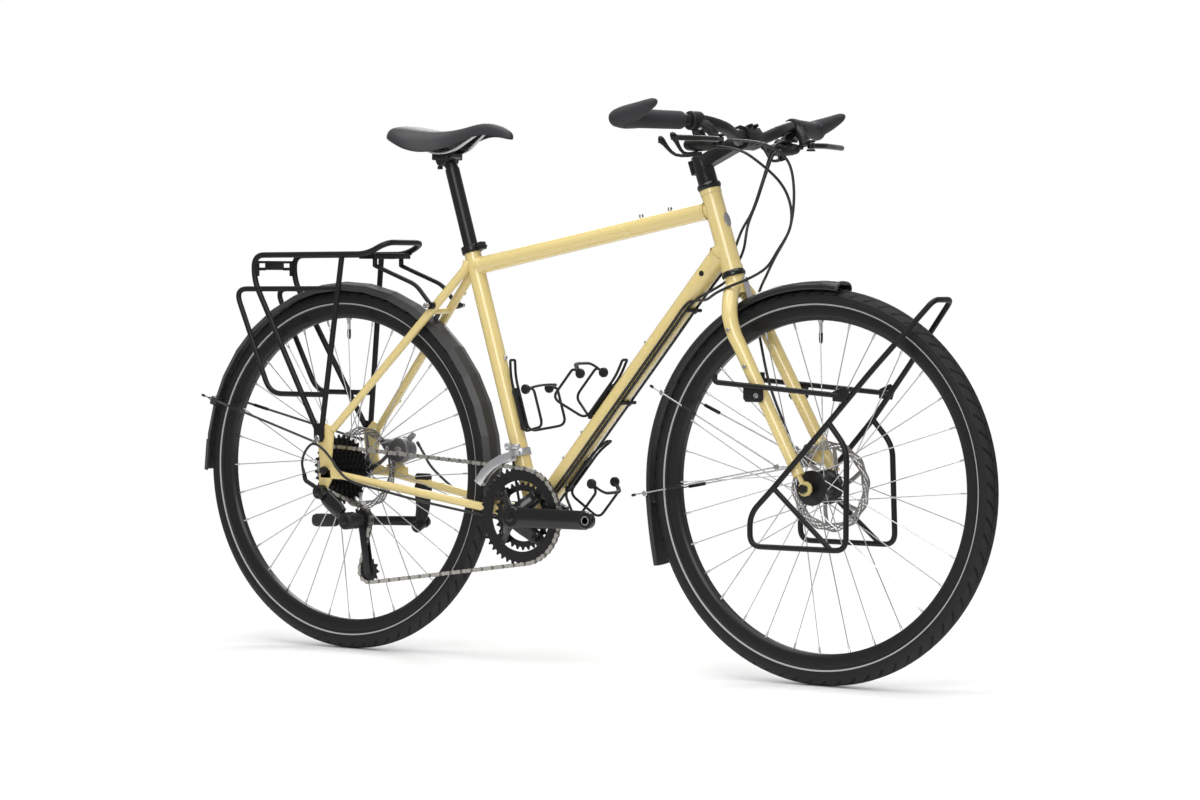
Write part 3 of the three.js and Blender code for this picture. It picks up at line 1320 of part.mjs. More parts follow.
const rearBrakeRoute = [
  [942, 128, 963], [915, 122, 963], [898, 112, 945], [891, 97, 900], [883, 72, 839], [874, 50, 803],
  [867, 35, 767], [854, 27, 735], [828, 18, 698], [798, 15, 661], [754, 15, 608], [559, 15, 379],
  [489, 15, 297], [474, 14, 269], [464, 13, 256], [449, 13, 251], [436, 14, 253], [420, 20, 257],
  [385, 28, 268], [352, 36, 275], [284, 47, 285], [256, 53, 290], [216, 64, 308], [177, 61, 336],
  [153, 58, 358], [135, 58, 383], [122, 57, 402],
];
const frontShiftRoute = [
  [919, 112, 946], [907, 103, 938], [902, 85, 902], [900, 60, 856], [893, 40, 811], [888, 33, 767],
  [872, 30, 735], [858, 22, 711], [842, 2, 695], [822, -10, 682], [798, -15, 660], [754, -15, 608],
  [559, -15, 379], [489, -15, 297], [474, -13, 269], [464, -12, 256], [449, -11, 251], [436, -8, 253],
  [421, -2, 265], [412, -2, 300], [403, -2, 345], [399, -2, 377],
];
const cable = { radius: 2.5, straight: THREE.MathUtils.degToRad(11) };
const vectors = (route) => route.map(([x, y, z]) => at(x, y, z));

function cableSolid(route) {
  const points = vectors(route);
  const curve = new THREE.CatmullRomCurve3(points, false, 'centripetal');
  const stations = curve.getPoints(2 * (points.length - 1));
  const kept = stations.filter((here, i) => {
    if (i % 2 === 0) return true;
    const back = here.clone().sub(stations[i - 1]);
    return back.angleTo(stations[i + 1].clone().sub(here)) > cable.straight;
  });
  return sweep(circle(cable.radius, 8), kept);
}
const exitsOf = (...routes) => routes.map((route) => vectors(route.slice(0, 2)));
piece('controls_right', 'black', controlsSolid(-1, exitsOf(frontBrakeRoute, rearShiftRoute)));
piece('controls_left', 'black', controlsSolid(1, exitsOf(rearBrakeRoute, frontShiftRoute)));
piece('brake_lever_right', 'satin', leverSolid(-1));
piece('brake_lever_left', 'satin', leverSolid(1));
piece('shift_lever_right_upper', 'black', triggerSolid(-1, upperPaddle, 0));
piece('shift_lever_right_lower', 'black', triggerSolid(-1, lowerPaddle, 1));
piece('shift_lever_left_upper', 'black', triggerSolid(1, upperPaddle, 0));
piece('shift_lever_left_lower', 'black', triggerSolid(1, lowerPaddle, 1));
piece('front_brake_cable', 'black', cableSolid(frontBrakeRoute));
piece('rear_brake_cable', 'black', cableSolid(rearBrakeRoute));
piece('rear_shift_cable', 'black', cableSolid(rearShiftRoute));
piece('front_shift_cable', 'black', cableSolid(frontShiftRoute));

// Mudguards: an arched blade over each wheel with wire stays at its edges
const guard = { edgeRadius: 347, arch: 17, halfWidth: 24, wall: 1.6, stepAngle: 10 };
const frontGuard = { start: 82, end: 187, flapStart: 183, flapEnd: 205, flare: 15 };
const rearGuard = { start: -8, end: 180, flapStart: 172, flapEnd: 182, flare: 3 };
const flapWall = 3;
const guardStay = { radius: 2.3, spread: 30 };
const frontStay = { upperAngle: 153, lowerAngle: 183.5, footBack: 53, footUp: 37, footSpread: 60 };
const rearStay = { angle: 158.5, footBack: 29, footUp: 54, footSpread: 69 };
const stayClip = { length: 16, width: 10, height: 14 };

function wheelPoint(centre, degrees, radius, spread = 0) {
  const turn = THREE.MathUtils.degToRad(degrees);
  return at(centre.x + radius * Math.cos(turn), spread, centre.z + radius * Math.sin(turn));
}

function arch(halfWidth, height, wall) {
  const points = [];
  const count = 2;
  for (let i = -count; i <= count; i += 1) {
    const turn = (Math.PI / 2) * (i / count);
    points.push([halfWidth * Math.sin(turn), -height * Math.cos(turn)]);
  }
  for (let i = count; i >= -count; i -= 1) {
    const turn = (Math.PI / 2) * (i / count);
    points.push([(halfWidth - wall) * Math.sin(turn), (wall - height) * Math.cos(turn) + wall / 4]);
  }
  return points;
}

function blade(centre, section, start, end, startRadius, endRadius) {
  const steps = Math.ceil((end - start) / guard.stepAngle);
  const stations = Array.from({ length: steps + 1 }, (_, i) => {
    const share = i / steps;
    const radius = THREE.MathUtils.lerp(startRadius, endRadius, share ** 2);
    return wheelPoint(centre, THREE.MathUtils.lerp(start, end, share), radius);
  });
  return sweep(section, stations, left);
}

function guardBlade(centre, places) {
  const edge = guard.edgeRadius;
  const flapArch = arch(guard.halfWidth + flapWall / 2, guard.arch + flapWall / 2, flapWall);
  return [
    blade(centre, arch(guard.halfWidth, guard.arch, guard.wall), places.start, places.end, edge, edge),
    blade(centre, flapArch, places.flapStart, places.flapEnd, edge, edge + places.flare),
  ];
}

function guardClip(centre, degrees, side) {
  const spread = (guard.halfWidth + guardStay.spread + guardStay.radius) / 2;
  const middle = wheelPoint(centre, degrees, guard.edgeRadius, side * spread);
  const out = wheelPoint(centre, degrees, guard.edgeRadius).sub(centre).normalize();
  const tangentLine = at(-out.z, 0, out.x);
  return block(middle, stayClip.length, guardStay.spread + guardStay.radius - guard.halfWidth +
    stayClip.width / 2,
    stayClip.height, tangentLine, out);
}

function frontGuardSolid() {
  const outer = guard.edgeRadius + guard.arch;
  const stays = sides.map((side) => {
    const foot = at(wheelbase - frontStay.footBack, side * frontStay.footSpread, wheelRadius +
      frontStay.footUp);
    const legPoint = legAt(side, foot.z);
    const legLine = legAt(side, legKnee.height).sub(legPoint).normalize();
    const strapHalf = guardStay.radius;
    const strap = legPoint.x - foot.x - (legRadiusAt(foot.z) - legLine.x * strapHalf) / legLine.z - gap;
    const wires = [frontStay.upperAngle, frontStay.lowerAngle].map((angle) => [
      rod(wheelPoint(frontAxleCentre, angle, outer, side * guardStay.spread), foot, guardStay.radius, 4),
      guardClip(frontAxleCentre, angle, side),
    ]);
    return [
      wires,
      block(foot.clone().add(at(strap / 2, 0, 0)), strap, guardStay.radius, 2 * strapHalf),
    ];
  });
  const bracketTop = along(onSteer(crown.height + crown.radius / 2), steerOut, crown.radius + gap +
    bracket.thickness / 2);
  const middle = along(bracketTop, steerUp, bracket.rise - bracket.length / 2);
  const plate = block(middle, bracket.thickness, bracket.width, bracket.length, steerOut, steerUp);
  return join(guardBlade(frontAxleCentre, frontGuard), stays, plate);
}
const bracket = { thickness: 2, width: 16, length: 38, rise: 6 };
piece('front_mudguard', 'black', frontGuardSolid());

function rearGuardSolid() {
  const outer = guard.edgeRadius + guard.arch;
  const stays = sides.map((side) => {
    const foot = at(-rearStay.footBack, side * rearStay.footSpread, wheelRadius + rearStay.footUp);
    return [
      rod(wheelPoint(rearAxleCentre, rearStay.angle, outer, side * guardStay.spread), foot,
        guardStay.radius, 4),
      ball(foot, 2 * guardStay.radius, 4),
      guardClip(rearAxleCentre, rearStay.angle, side),
    ];
  });
  const bridge = between(seatStayAt(-1, stayBridge.height), seatStayAt(1, stayBridge.height), 0.5);
  const out = bridge.clone().sub(rearAxleCentre).normalize();
  const reach = bridge.distanceTo(rearAxleCentre) - stayBridge.radius - gap;
  const bolt = rod(along(rearAxleCentre, out, outer - guard.wall), along(rearAxleCentre, out, reach),
    boss.radius, 8);
  return join(guardBlade(rearAxleCentre, rearGuard), stays, bolt);
}
piece('rear_mudguard', 'black', rearGuardSolid());

// Rear rack: two side frames that spread towards the axle, joined by plates, bars and a front hoop
const rack = { radius: 6, deckHeight: 765, halfWidth: 60, footHalfWidth: 75, spreadFrom: 715, corner: 30 };
const rackEnds = { rear: 190, front: 95, lowerDeck: 699, lowerRear: 239, lowerFoot: 495, lowerKnee: 142 };
const rackHoop = { ahead: 140, rise: 22, halfWidth: 56 };
const rackLeg = { ahead: 33, footAhead: -8, lowerAhead: 27, lowerFootAhead: -3 };
const rackFoot = { back: 13, height: 411, rearBack: 21, tubeEnd: 429, thickness: 5, plateHalf: 12 };
const rackPlate = { thickness: 3, low: 736, high: 754, wing: 723, slot: 19, slotHeight: 5.5,
  slotSpread: 36.5 };
const crossPlate = { ahead: 90, length: 40, thickness: 3, flange: 9 };
const crossBar = { radius: 4, frontAhead: 0, rearBack: 100 };
const strut = { radius: 4.5, spread: 40, topAhead: 98, topDrop: 22, kneeAhead: 198, kneeHeight: 706,
  eye: 7 };

function rackSpread(height) {
  const share = THREE.MathUtils.clamp((rack.spreadFrom - height) / (rack.spreadFrom - rackFoot.height),
    0, 1);
  return THREE.MathUtils.lerp(rack.halfWidth, rack.footHalfWidth, share);
}

function rackPoint(side, x, z) {
  return at(x, side * rackSpread(z), z);
}

function rearRackSide(side) {
  const top = rack.deckHeight;
  const foot = rackPoint(side, -rackFoot.back, rackFoot.height);
  const loop = [
    [-rackEnds.rear, top], [-rackEnds.rear, rack.spreadFrom], [-rackFoot.rearBack, rackFoot.tubeEnd],
  ].map(([x, z]) => rackPoint(side, x, z));
  const railStart = at(rackEnds.front, side * rack.halfWidth, top);
  const hoopTop = at(rackHoop.ahead, side * rackHoop.halfWidth, top + rackHoop.rise);
  const lower = [
    [rackLeg.lowerAhead, rackEnds.lowerDeck], [-rackEnds.lowerRear, rackEnds.lowerDeck],
    [-rackEnds.lowerKnee, rackEnds.lowerFoot], [rackLeg.lowerFootAhead, rackEnds.lowerFoot],
  ].map(([x, z]) => rackPoint(side, x, z));
  const legTop = rackPoint(side, rackLeg.ahead, top);
  const legFootPoint = rackPoint(side, rackLeg.footAhead, rackFoot.tubeEnd);
  const inner = dropoutSpread + dropout.thickness / 2 + gap;
  const outer = inner + rackFoot.thickness;
  const eye = rod(foot.clone().setY(side * inner), foot.clone().setY(side * outer), eyelet.radius, 8);
  const plateHeight = rackFoot.tubeEnd - rackFoot.height + rack.radius;
  const plate = block(
    at(foot.x, (side * (inner + outer)) / 2, rackFoot.height + plateHeight / 2), 2 * rackFoot.plateHalf,
    rackFoot.thickness, plateHeight);
  return join(
    tube([hoopTop.clone().setY(0), hoopTop, railStart, ...loop], rack.radius, rack.corner, 5, 1),
    rod(legTop, legFootPoint, rack.radius, 5),
    tube(lower, rack.radius, rack.corner, 5, 1),
    eye,
    plate,
  );
}

function rearRackStrut(side) {
  const y = side * strut.spread;
  const top = at(strut.topAhead, y, rack.deckHeight - strut.topDrop);
  const knee = at(strut.kneeAhead, y, strut.kneeHeight);
  const stay = seatStayAt(side, strutBoss.height);
  const foot = at(stay.x, y, stay.z);
  const lug = block(top.clone().add(at(0, 0, strut.topDrop / 2)), 3 * strut.radius,
    2 * strut.radius,
    strut.topDrop);
  const eye = rod(
    foot.clone().setY(side * (strutBoss.spread + gap)),
      foot.clone().setY(side * (strut.spread + strut.radius)),
    strut.eye, 8);
  return join(tube([top, knee, foot], strut.radius, strut.eye, 5, 1), lug, eye);
}

function rearRackSolid() {
  const inner = rack.halfWidth;
  const tailOutline = [
    [-inner, rackPlate.wing], [rackPlate.slot - inner, rackPlate.low],
      [inner - rackPlate.slot, rackPlate.low],
    [inner, rackPlate.wing], [inner, rackPlate.high], [-inner, rackPlate.high],
  ];
  const slots = sides.map((side) => block(
    at(-rackEnds.rear, side * rackPlate.slotSpread, (rackPlate.low + rackPlate.high) / 2), overrun,
    rackPlate.slot, rackPlate.slotHeight));
  const tail = cut(slab(tailOutline, rackPlate.thickness, at(-rackEnds.rear, 0, 0), left, up), slots);
  const plate = block(at(crossPlate.ahead, 0, rack.deckHeight), crossPlate.length, 2 * inner,
    crossPlate.thickness);
  const flanges = sides.map((end) => block(
    at(crossPlate.ahead + (end * (crossPlate.length - crossPlate.thickness)) / 2, 0,
      rack.deckHeight - crossPlate.flange / 2),
    crossPlate.thickness, 2 * (inner - rack.radius), crossPlate.flange));
  const bars = [crossBar.frontAhead, -crossBar.rearBack].map((x) => rod(
    at(x, -inner, rack.deckHeight), at(x, inner, rack.deckHeight), crossBar.radius, 5));
  return join(sides.map(rearRackSide), sides.map(rearRackStrut), tail, plate, flanges, bars);
}
piece('rear_rack', 'black', rearRackSolid());

// Front rack: a side frame on each fork leg, a mounting rail and a hoop over the tyre
const lowRack = { radius: 5.4, corner: 20, spread: 84, height: 247, rear: -94, front: 101, rearHigh: 303 };
const lowRackTop = { rear: -48, rearHeight: 350, spread: 80, front: 99, frontHeight: 422.5,
  frontSpread: 78 };
const lowRackMeet = { ahead: 61, height: 466.5, spread: 75 };
const lowRackHoop = { kneeAhead: 140, kneeHeight: 559, kneeSpread: 60, ahead: 243, height: 678, spread: 30 };
const lowRackRail = { spread: 78, rear: -171, rearHeight: 533, front: 80, frontHeight: 514, hook: 14 };
const lowRackTab = { rear: -115, front: -72, low: 497, high: 528, thickness: 3 };
const lowRackBar = { front: 69, height: 249 };

function frontPoint(side, ahead, spread, height) {
  return at(wheelbase + ahead, side * spread, height);
}

function frontRackSide(side) {
  const meet = frontPoint(side, lowRackMeet.ahead, lowRackMeet.spread, lowRackMeet.height);
  const hoopTop = frontPoint(side, lowRackHoop.ahead, lowRackHoop.spread, lowRackHoop.height);
  const knee = frontPoint(side, lowRackHoop.kneeAhead, lowRackHoop.kneeSpread, lowRackHoop.kneeHeight);
  const topRear = frontPoint(side, lowRackTop.rear, lowRackTop.spread, lowRackTop.rearHeight);
  const rearHigh = frontPoint(side, lowRack.rear, lowRack.spread, lowRack.rearHigh);
  const rearLow = frontPoint(side, lowRack.rear, lowRack.spread, lowRack.height);
  const frontLow = frontPoint(side, lowRack.front, lowRack.spread, lowRack.height);
  const frontHigh = frontPoint(side, lowRackTop.front, lowRackTop.frontSpread, lowRackTop.frontHeight);
  const barFoot = frontPoint(side, lowRackBar.front, lowRack.spread, lowRackBar.height);
  const railRear = frontPoint(side, lowRackRail.rear, lowRackRail.spread, lowRackRail.rearHeight);
  const railFront = frontPoint(side, lowRackRail.front, lowRackRail.spread, lowRackRail.frontHeight);
  const slant = between(meet, knee, (lowRackRail.frontHeight - meet.z) / (knee.z - meet.z));
  const tabMiddle = frontPoint(side, (lowRackTab.rear + lowRackTab.front) / 2,
    rackBoss.spread + gap + lowRackTab.thickness / 2, (lowRackTab.low + lowRackTab.high) / 2);
  const tab = block(tabMiddle, lowRackTab.front - lowRackTab.rear, lowRackTab.thickness,
    lowRackTab.high - lowRackTab.low);
  return join(
    tube([hoopTop.clone().setY(0), hoopTop, knee, meet, topRear, rearHigh, rearLow, frontLow, frontHigh,
      meet],
      lowRack.radius, lowRack.corner, 5, 1),
    rod(topRear, barFoot, lowRack.radius, 5),
    tube([railRear.clone().add(at(0, 0, lowRackRail.hook)), railRear, railFront, slant], lowRack.radius,
      lowRackRail.hook / 2, 5, 1),
    tab,
  );
}
piece('front_rack', 'black', join(sides.map(frontRackSide)));

// Bottle cages: two bent wires, a mounting plate, knobs and an outer strap
const wire = { radius: 2.5, halfGap: 7.5, faces: 4 };
const holder = { reach: 74, halfWidth: 37, baseRise: 8, length: 137, sideTop: 67, floorDrop: 6,
  topRise: 16 };
const holderPlate = { low: 4, high: 80, thickness: 4.5, halfWidth: 9 };
const knob = { rise: 56, up: 70, radius: 9, thickness: 7 };
const strapBow = 27;
const cageStart = { seatTube: 154, downTube: 216, underTube: 79 };

function bottleCage(direction, outward, tubeRadius, start) {
  const place = (u, v, w) =>
    along(along(bottomBracket, direction, start + u), outward, tubeRadius + v).setY(w);
  const wires = sides.map((side) => {
    const w = side * wire.halfGap;
    const wide = side * holder.halfWidth;
    return tube([
      place(holder.length, holder.topRise, 0), place(holder.length, holder.topRise, w),
      place(holder.length - 2 * holder.topRise, holder.baseRise, w), place(0, holder.baseRise, w),
      place(-holder.floorDrop, holder.reach, wide), place(holder.sideTop, holder.reach, wide),
      place(knob.up, knob.rise, wide),
    ], wire.radius, 2 * knob.radius, wire.faces, 1);
  });
  const bandRadius = knob.rise / 2;
  const band = tube([
    place(knob.up, knob.rise, -holder.halfWidth),
      place(knob.up, knob.rise + strapBow, -holder.halfWidth * 0.7),
    place(knob.up, knob.rise + strapBow, holder.halfWidth * 0.7),
      place(knob.up, knob.rise, holder.halfWidth),
  ], wire.radius, bandRadius, wire.faces, 2);
  const knobs = sides.map((side) => rod(
    place(knob.up, knob.rise, side * (holder.halfWidth - knob.thickness / 2)),
    place(knob.up, knob.rise, side * (holder.halfWidth + knob.thickness / 2)), knob.radius, 6));
  const plateRise = boss.height + gap + holderPlate.thickness / 2;
  const plate = block(place((holderPlate.low + holderPlate.high) / 2, plateRise, 0),
    holderPlate.high - holderPlate.low, 2 * holderPlate.halfWidth, holderPlate.thickness, direction,
      outward);
  return join(wires, band, knobs, plate);
}
const underOut = downOut.clone().negate();
piece('bottle_cage_seat_tube', 'black',
  bottleCage(seatUp, seatOut, seatTube.radius, cageStart.seatTube));
piece('bottle_cage_down_tube', 'black',
  bottleCage(downUp, downOut, downTube.radius, cageStart.downTube));
piece('bottle_cage_under_tube', 'black',
  bottleCage(downUp, underOut, downTube.radius, cageStart.underTube));

// Disc brake calipers: a body with a slot for the disc, a cable stop and a swinging arm
const caliper = { length: 60, height: 50, slot: 1.8, discClearance: 2.5, pin: 4, stopRadius: 4.2,
  inner: 7.6 };
const rearCaliper = { ahead: 70, up: 39, armAhead: 36, armUp: 26 };
const frontCaliper = { ahead: -67, up: 50, length: 44, height: 44, armAhead: -24, armUp: -20 };
const brakeArm = { thickness: 3, width: 12, pivotHole: 4.4 };

function caliperSolid(centre, hub, outerSpread, place, size, armSpread, cableEnd) {
  const inner = hub.discSpread - caliper.slot - caliper.inner;
  const middle = at(centre.x + place.ahead, (inner + outerSpread) / 2, centre.z + place.up);
  const body = block(middle, size.length, outerSpread - inner, size.height);
  const slotCentre = centre.clone().setY(hub.discSpread);
  const slot = rod(
    slotCentre.clone().setY(hub.discSpread - caliper.slot),
      slotCentre.clone().setY(hub.discSpread + caliper.slot),
    disc.radius + caliper.discClearance, 24);
  const pivot = middle.clone().setY(outerSpread);
  const pin = rod(pivot.clone().setY(outerSpread - overrun),
    pivot.clone().setY(armSpread + brakeArm.thickness + gap),
    caliper.pin, 6);
  const [end, before] = cableEnd;
  const direction = end.clone().sub(before).normalize();
  const stopStart = along(end, direction, gap);
  const stopEnd = along(end, direction, 2 * caliper.stopRadius);
  const foot = at(
    THREE.MathUtils.clamp(stopEnd.x, middle.x - size.length / 2 + caliper.stopRadius,
      middle.x + size.length / 2 - caliper.stopRadius),
    outerSpread - caliper.stopRadius,
    THREE.MathUtils.clamp(stopEnd.z, middle.z - size.height / 2 + caliper.stopRadius,
      middle.z + size.height / 2 - caliper.stopRadius));
  return join(cut(body, slot), pin, rod(stopStart, stopEnd, caliper.stopRadius, 8),
    rod(stopEnd, foot, caliper.stopRadius, 8));
}

function brakeArmSolid(centre, place, armSpread) {
  const pivot = at(centre.x + place.ahead, armSpread + brakeArm.thickness / 2, centre.z + place.up);
  const tip = pivot.clone().add(at(place.armAhead, 0, place.armUp));
  const line = tip.clone().sub(pivot);
  const length = line.length();
  line.normalize();
  const across = at(-line.z, 0, line.x);
  const arm = block(between(pivot, tip, 0.5), length, brakeArm.thickness, brakeArm.width, line, across);
  const half = brakeArm.thickness / 2;
  const disk = (point, radius) => rod(point.clone().setY(point.y - half), point.clone().setY(point.y + half),
    radius, 10);
  return cut(join(arm, disk(pivot, brakeArm.width * 0.7), disk(tip, brakeArm.width / 2)),
    rod(pivot.clone().setY(pivot.y - 2 * half), pivot.clone().setY(pivot.y + 2 * half),
      brakeArm.pivotHole, 8));
}

const endOf = (route) => vectors([route[route.length - 1], route[route.length - 2]]);
const rearCaliperFace = rearLug.outerSpread - rearLug.width - gap;
const frontCaliperFace = frontLug.outerSpread - frontLug.width - gap;
const rearArmSpread = rearLug.outerSpread + gap;
const frontArmSpread = frontStay.footSpread + 2 * guardStay.radius + gap;
piece('rear_brake_caliper', 'black', caliperSolid(
  rearAxleCentre, rearHub, rearCaliperFace, rearCaliper, caliper, rearArmSpread, endOf(rearBrakeRoute)));
piece('rear_brake_arm', 'steel', brakeArmSolid(rearAxleCentre, rearCaliper, rearArmSpread));
piece('front_brake_caliper', 'black', caliperSolid(
  frontAxleCentre, frontHub, frontCaliperFace, frontCaliper, frontCaliper, frontArmSpread,
  endOf(frontBrakeRoute)));
piece('front_brake_arm', 'steel', brakeArmSolid(frontAxleCentre, frontCaliper, frontArmSpread));

// Kickstand: a bracket under the left chain stay and a flat leg on a slanted pivot
const standBlock = { ahead: 135, upperLength: 32, upperHalf: 13, height: 15, lowerLength: 48, low: 236,
  lowerSpread: 55 };
const standPivot = { ahead: 123, spread: 73, height: 246, radius: 10, length: 26, pin: 4 };
const standLeg = { length: 290, width: 18, thickness: 8, hubRadius: 13, footLength: 62, footWidth: 26 };
const standTurn = at(-0.019, -0.9076, -0.4195).normalize();
const standRest = at(-1, 0.05, -0.03).normalize();

function standBracket() {
  const stay = chainStayAt(1, standBlock.ahead);
  const stayStart = chainStayAt(1, standBlock.ahead + standBlock.lowerLength);
  const stayEnd = chainStayAt(1, standBlock.ahead - standBlock.lowerLength);
  const upper = block(stay, standBlock.upperLength, 2 * standBlock.upperHalf, 2 * standBlock.height);
  const lowerHeight = stay.z - chainStay.footRadius - standBlock.low;
  const lower = block(at(standBlock.ahead, standBlock.lowerSpread, standBlock.low + lowerHeight / 2),
    standBlock.lowerLength,
    2 * standPivot.radius - 2, lowerHeight);
  const pivot = at(standPivot.ahead, standPivot.spread, standPivot.height);
  const barrel = rod(
    along(pivot, standTurn, standPivot.length), along(pivot, standTurn, gap), standPivot.radius, 8);
  const pin = rod(
    along(pivot, standTurn, gap + overrun), along(pivot, standTurn, -standLeg.thickness - gap),
      standPivot.pin, 6);
  return cut(join(upper, lower, barrel, pin), rod(stayStart, stayEnd, clearOf(chainStay.footRadius, 8), 8));
}

function standLegSolid() {
  const pivot = at(standPivot.ahead, standPivot.spread, standPivot.height);
  const outward = standTurn.clone().negate();
  const line = standRest.clone().addScaledVector(outward, -standRest.dot(outward)).normalize();
  const across = new THREE.Vector3().crossVectors(outward, line);
  const middle = along(along(pivot, line, standLeg.length / 2), outward, standLeg.thickness / 2);
  const shaft = block(middle, standLeg.length, standLeg.thickness, standLeg.width, line, across);
  const hub = rod(pivot, along(pivot, outward, standLeg.thickness), standLeg.hubRadius, 10);
  const footCentre = along(along(pivot, line, standLeg.length - standLeg.footLength / 2), outward,
    standLeg.thickness / 2);
  const foot = block(footCentre, standLeg.footLength, standLeg.thickness * 1.5, standLeg.footWidth,
    line, across);
  const bore = rod(along(pivot, outward, -overrun), along(pivot, outward, standLeg.thickness + overrun),
    clearOf(standPivot.pin, 8), 8);
  return cut(join(shaft, hub, foot), bore);
}
piece('kickstand_bracket', 'black', standBracket());
piece('kickstand_leg', 'black', standLegSolid());

// Front derailleur: a band on the seat tube, a hinge pin and a cage around the chain
const band = { height: 391, depth: 14, wall: 3 };
const frontMech = { pivotAhead: -19, pivotHeight: 405, pivotSpread: 40, pin: 2.6, bore: 2.9,
  barrel: 5.5, length: 20 };
const mechCage = { inner: 104, outer: 121, start: 99, end: 149, thickness: 1.6, clear: 4.8,
  innerDepth: 8.6 };

function frontMechClamp() {
  const centre = onSeat(band.height);
  const foot = along(centre, seatUp, -band.depth / 2);
  const inner = seatTube.radius + gap;
  const outer = inner + band.wall;
  const ring = turned([[inner, 0], [outer, 0], [outer, band.depth], [inner, band.depth], [inner, 0]],
    foot, seatUp, mainFaces);
  const pivot = mechPivot();
  const back = pivot.clone().add(at(-frontMech.length / 2 - gap - band.wall, 0, 0));
  const armRoot = along(centre, left, -outer);
  const arm = rod(armRoot, back.clone().add(at(-band.wall, 0, 0)), band.depth * 0.3, 6);
  const head = rod(back.clone().add(at(-2 * band.wall, 0, 0)), back.clone().add(at(band.wall, 0, 0)),
    band.depth / 2, 8);
  const pin = rod(back, pivot.clone().add(at(frontMech.length / 2 + gap, 0, 0)), frontMech.pin, 8);
  return join(ring, arm, head, pin);
}

function mechPivot() {
  return at(bottomBracketAhead + frontMech.pivotAhead, -frontMech.pivotSpread, frontMech.pivotHeight);
}

function arcPlate(spread) {
  const count = 4;
  const points = [];
  for (let i = 0; i <= count; i += 1) {
    const turn = THREE.MathUtils.degToRad(THREE.MathUtils.lerp(mechCage.start, mechCage.end, i / count));
    points.push([mechCage.outer * Math.cos(turn), mechCage.outer * Math.sin(turn)]);
  }
  for (let i = count; i >= 0; i -= 1) {
    const turn = THREE.MathUtils.degToRad(THREE.MathUtils.lerp(mechCage.start, mechCage.end, i / count));
    points.push([mechCage.inner * Math.cos(turn), mechCage.inner * Math.sin(turn)]);
  }
  return slab(points, mechCage.thickness, bottomBracket.clone().setY(spread), forward, up);
}

function frontMechCage() {
  const outerSpread = -bigRing.chainline - mechCage.clear - mechCage.thickness / 2;
  const innerSpread = -bigRing.chainline + mechCage.innerDepth - mechCage.thickness / 2;
  const tie = (degrees, radius) => {
    const point = wheelPoint(bottomBracket, degrees, radius, 0);
    const out = point.clone().sub(bottomBracket).setY(0).normalize();
    const across = at(-out.z, 0, out.x);
    return block(point.clone().setY((outerSpread + innerSpread) / 2), mechCage.thickness * 2,
      innerSpread - outerSpread, mechCage.outer - mechCage.inner, across, out);
  };
  const middle = (mechCage.inner + mechCage.outer) / 2;
  const pivot = mechPivot();
  const half = frontMech.length / 2;
  const barrel = rod(pivot.clone().add(at(-half, 0, 0)), pivot.clone().add(at(half, 0, 0)),
    frontMech.barrel, 10);
  const top = wheelPoint(bottomBracket, mechCage.start, mechCage.outer, innerSpread);
  const hanging = block(
    at(pivot.x, (pivot.y + innerSpread) / 2, (pivot.z + top.z) / 2 - mechCage.thickness),
      frontMech.length * 0.8,
    Math.abs(pivot.y - innerSpread) + mechCage.thickness, pivot.z - top.z + 2 * frontMech.barrel);
  const bore = rod(pivot.clone().add(at(-2 * half, 0, 0)), pivot.clone().add(at(2 * half, 0, 0)),
    frontMech.bore, 8);
  return cut(join(arcPlate(outerSpread), arcPlate(innerSpread), tie(mechCage.end - 1, middle),
    tie(mechCage.start + 1, mechCage.outer), barrel, hanging), bore);
}
piece('front_derailleur_clamp', 'steel', frontMechClamp());
piece('front_derailleur_cage', 'steel', frontMechCage());

// The origin is on the ground, midway between the front tyre and the rear mudguard's flap
const span = new THREE.Box3().setFromObject(bicycle);
bicycle.position.set(-(span.min.x + span.max.x) / 2, 0, -span.min.z);
bicycle.updateMatrixWorld(true);

export default bicycle;
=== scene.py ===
import json
import math

import bmesh
import bpy
from mathutils import Matrix, Quaternion, Vector
from mathutils.geometry import interpolate_bezier

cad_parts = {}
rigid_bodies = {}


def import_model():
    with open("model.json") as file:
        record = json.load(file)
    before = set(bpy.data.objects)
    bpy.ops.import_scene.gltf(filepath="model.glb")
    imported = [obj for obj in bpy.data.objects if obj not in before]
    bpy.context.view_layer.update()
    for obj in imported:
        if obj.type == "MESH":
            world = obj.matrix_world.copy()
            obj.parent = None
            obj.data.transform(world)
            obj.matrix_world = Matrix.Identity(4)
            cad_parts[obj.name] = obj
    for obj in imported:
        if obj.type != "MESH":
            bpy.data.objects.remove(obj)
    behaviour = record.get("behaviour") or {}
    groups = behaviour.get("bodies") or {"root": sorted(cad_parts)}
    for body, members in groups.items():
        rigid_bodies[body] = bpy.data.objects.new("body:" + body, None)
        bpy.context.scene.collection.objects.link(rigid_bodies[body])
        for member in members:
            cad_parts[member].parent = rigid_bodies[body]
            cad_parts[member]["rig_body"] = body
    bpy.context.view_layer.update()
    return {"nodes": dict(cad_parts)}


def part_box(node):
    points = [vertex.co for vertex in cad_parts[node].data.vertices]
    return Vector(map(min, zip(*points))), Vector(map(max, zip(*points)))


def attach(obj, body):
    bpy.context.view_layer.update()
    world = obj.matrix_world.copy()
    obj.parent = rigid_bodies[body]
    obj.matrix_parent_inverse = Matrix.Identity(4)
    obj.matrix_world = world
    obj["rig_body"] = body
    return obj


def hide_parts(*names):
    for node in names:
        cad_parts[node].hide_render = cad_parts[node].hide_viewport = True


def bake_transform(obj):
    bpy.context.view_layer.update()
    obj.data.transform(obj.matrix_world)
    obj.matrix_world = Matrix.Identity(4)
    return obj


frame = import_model()
solids = frame["nodes"]

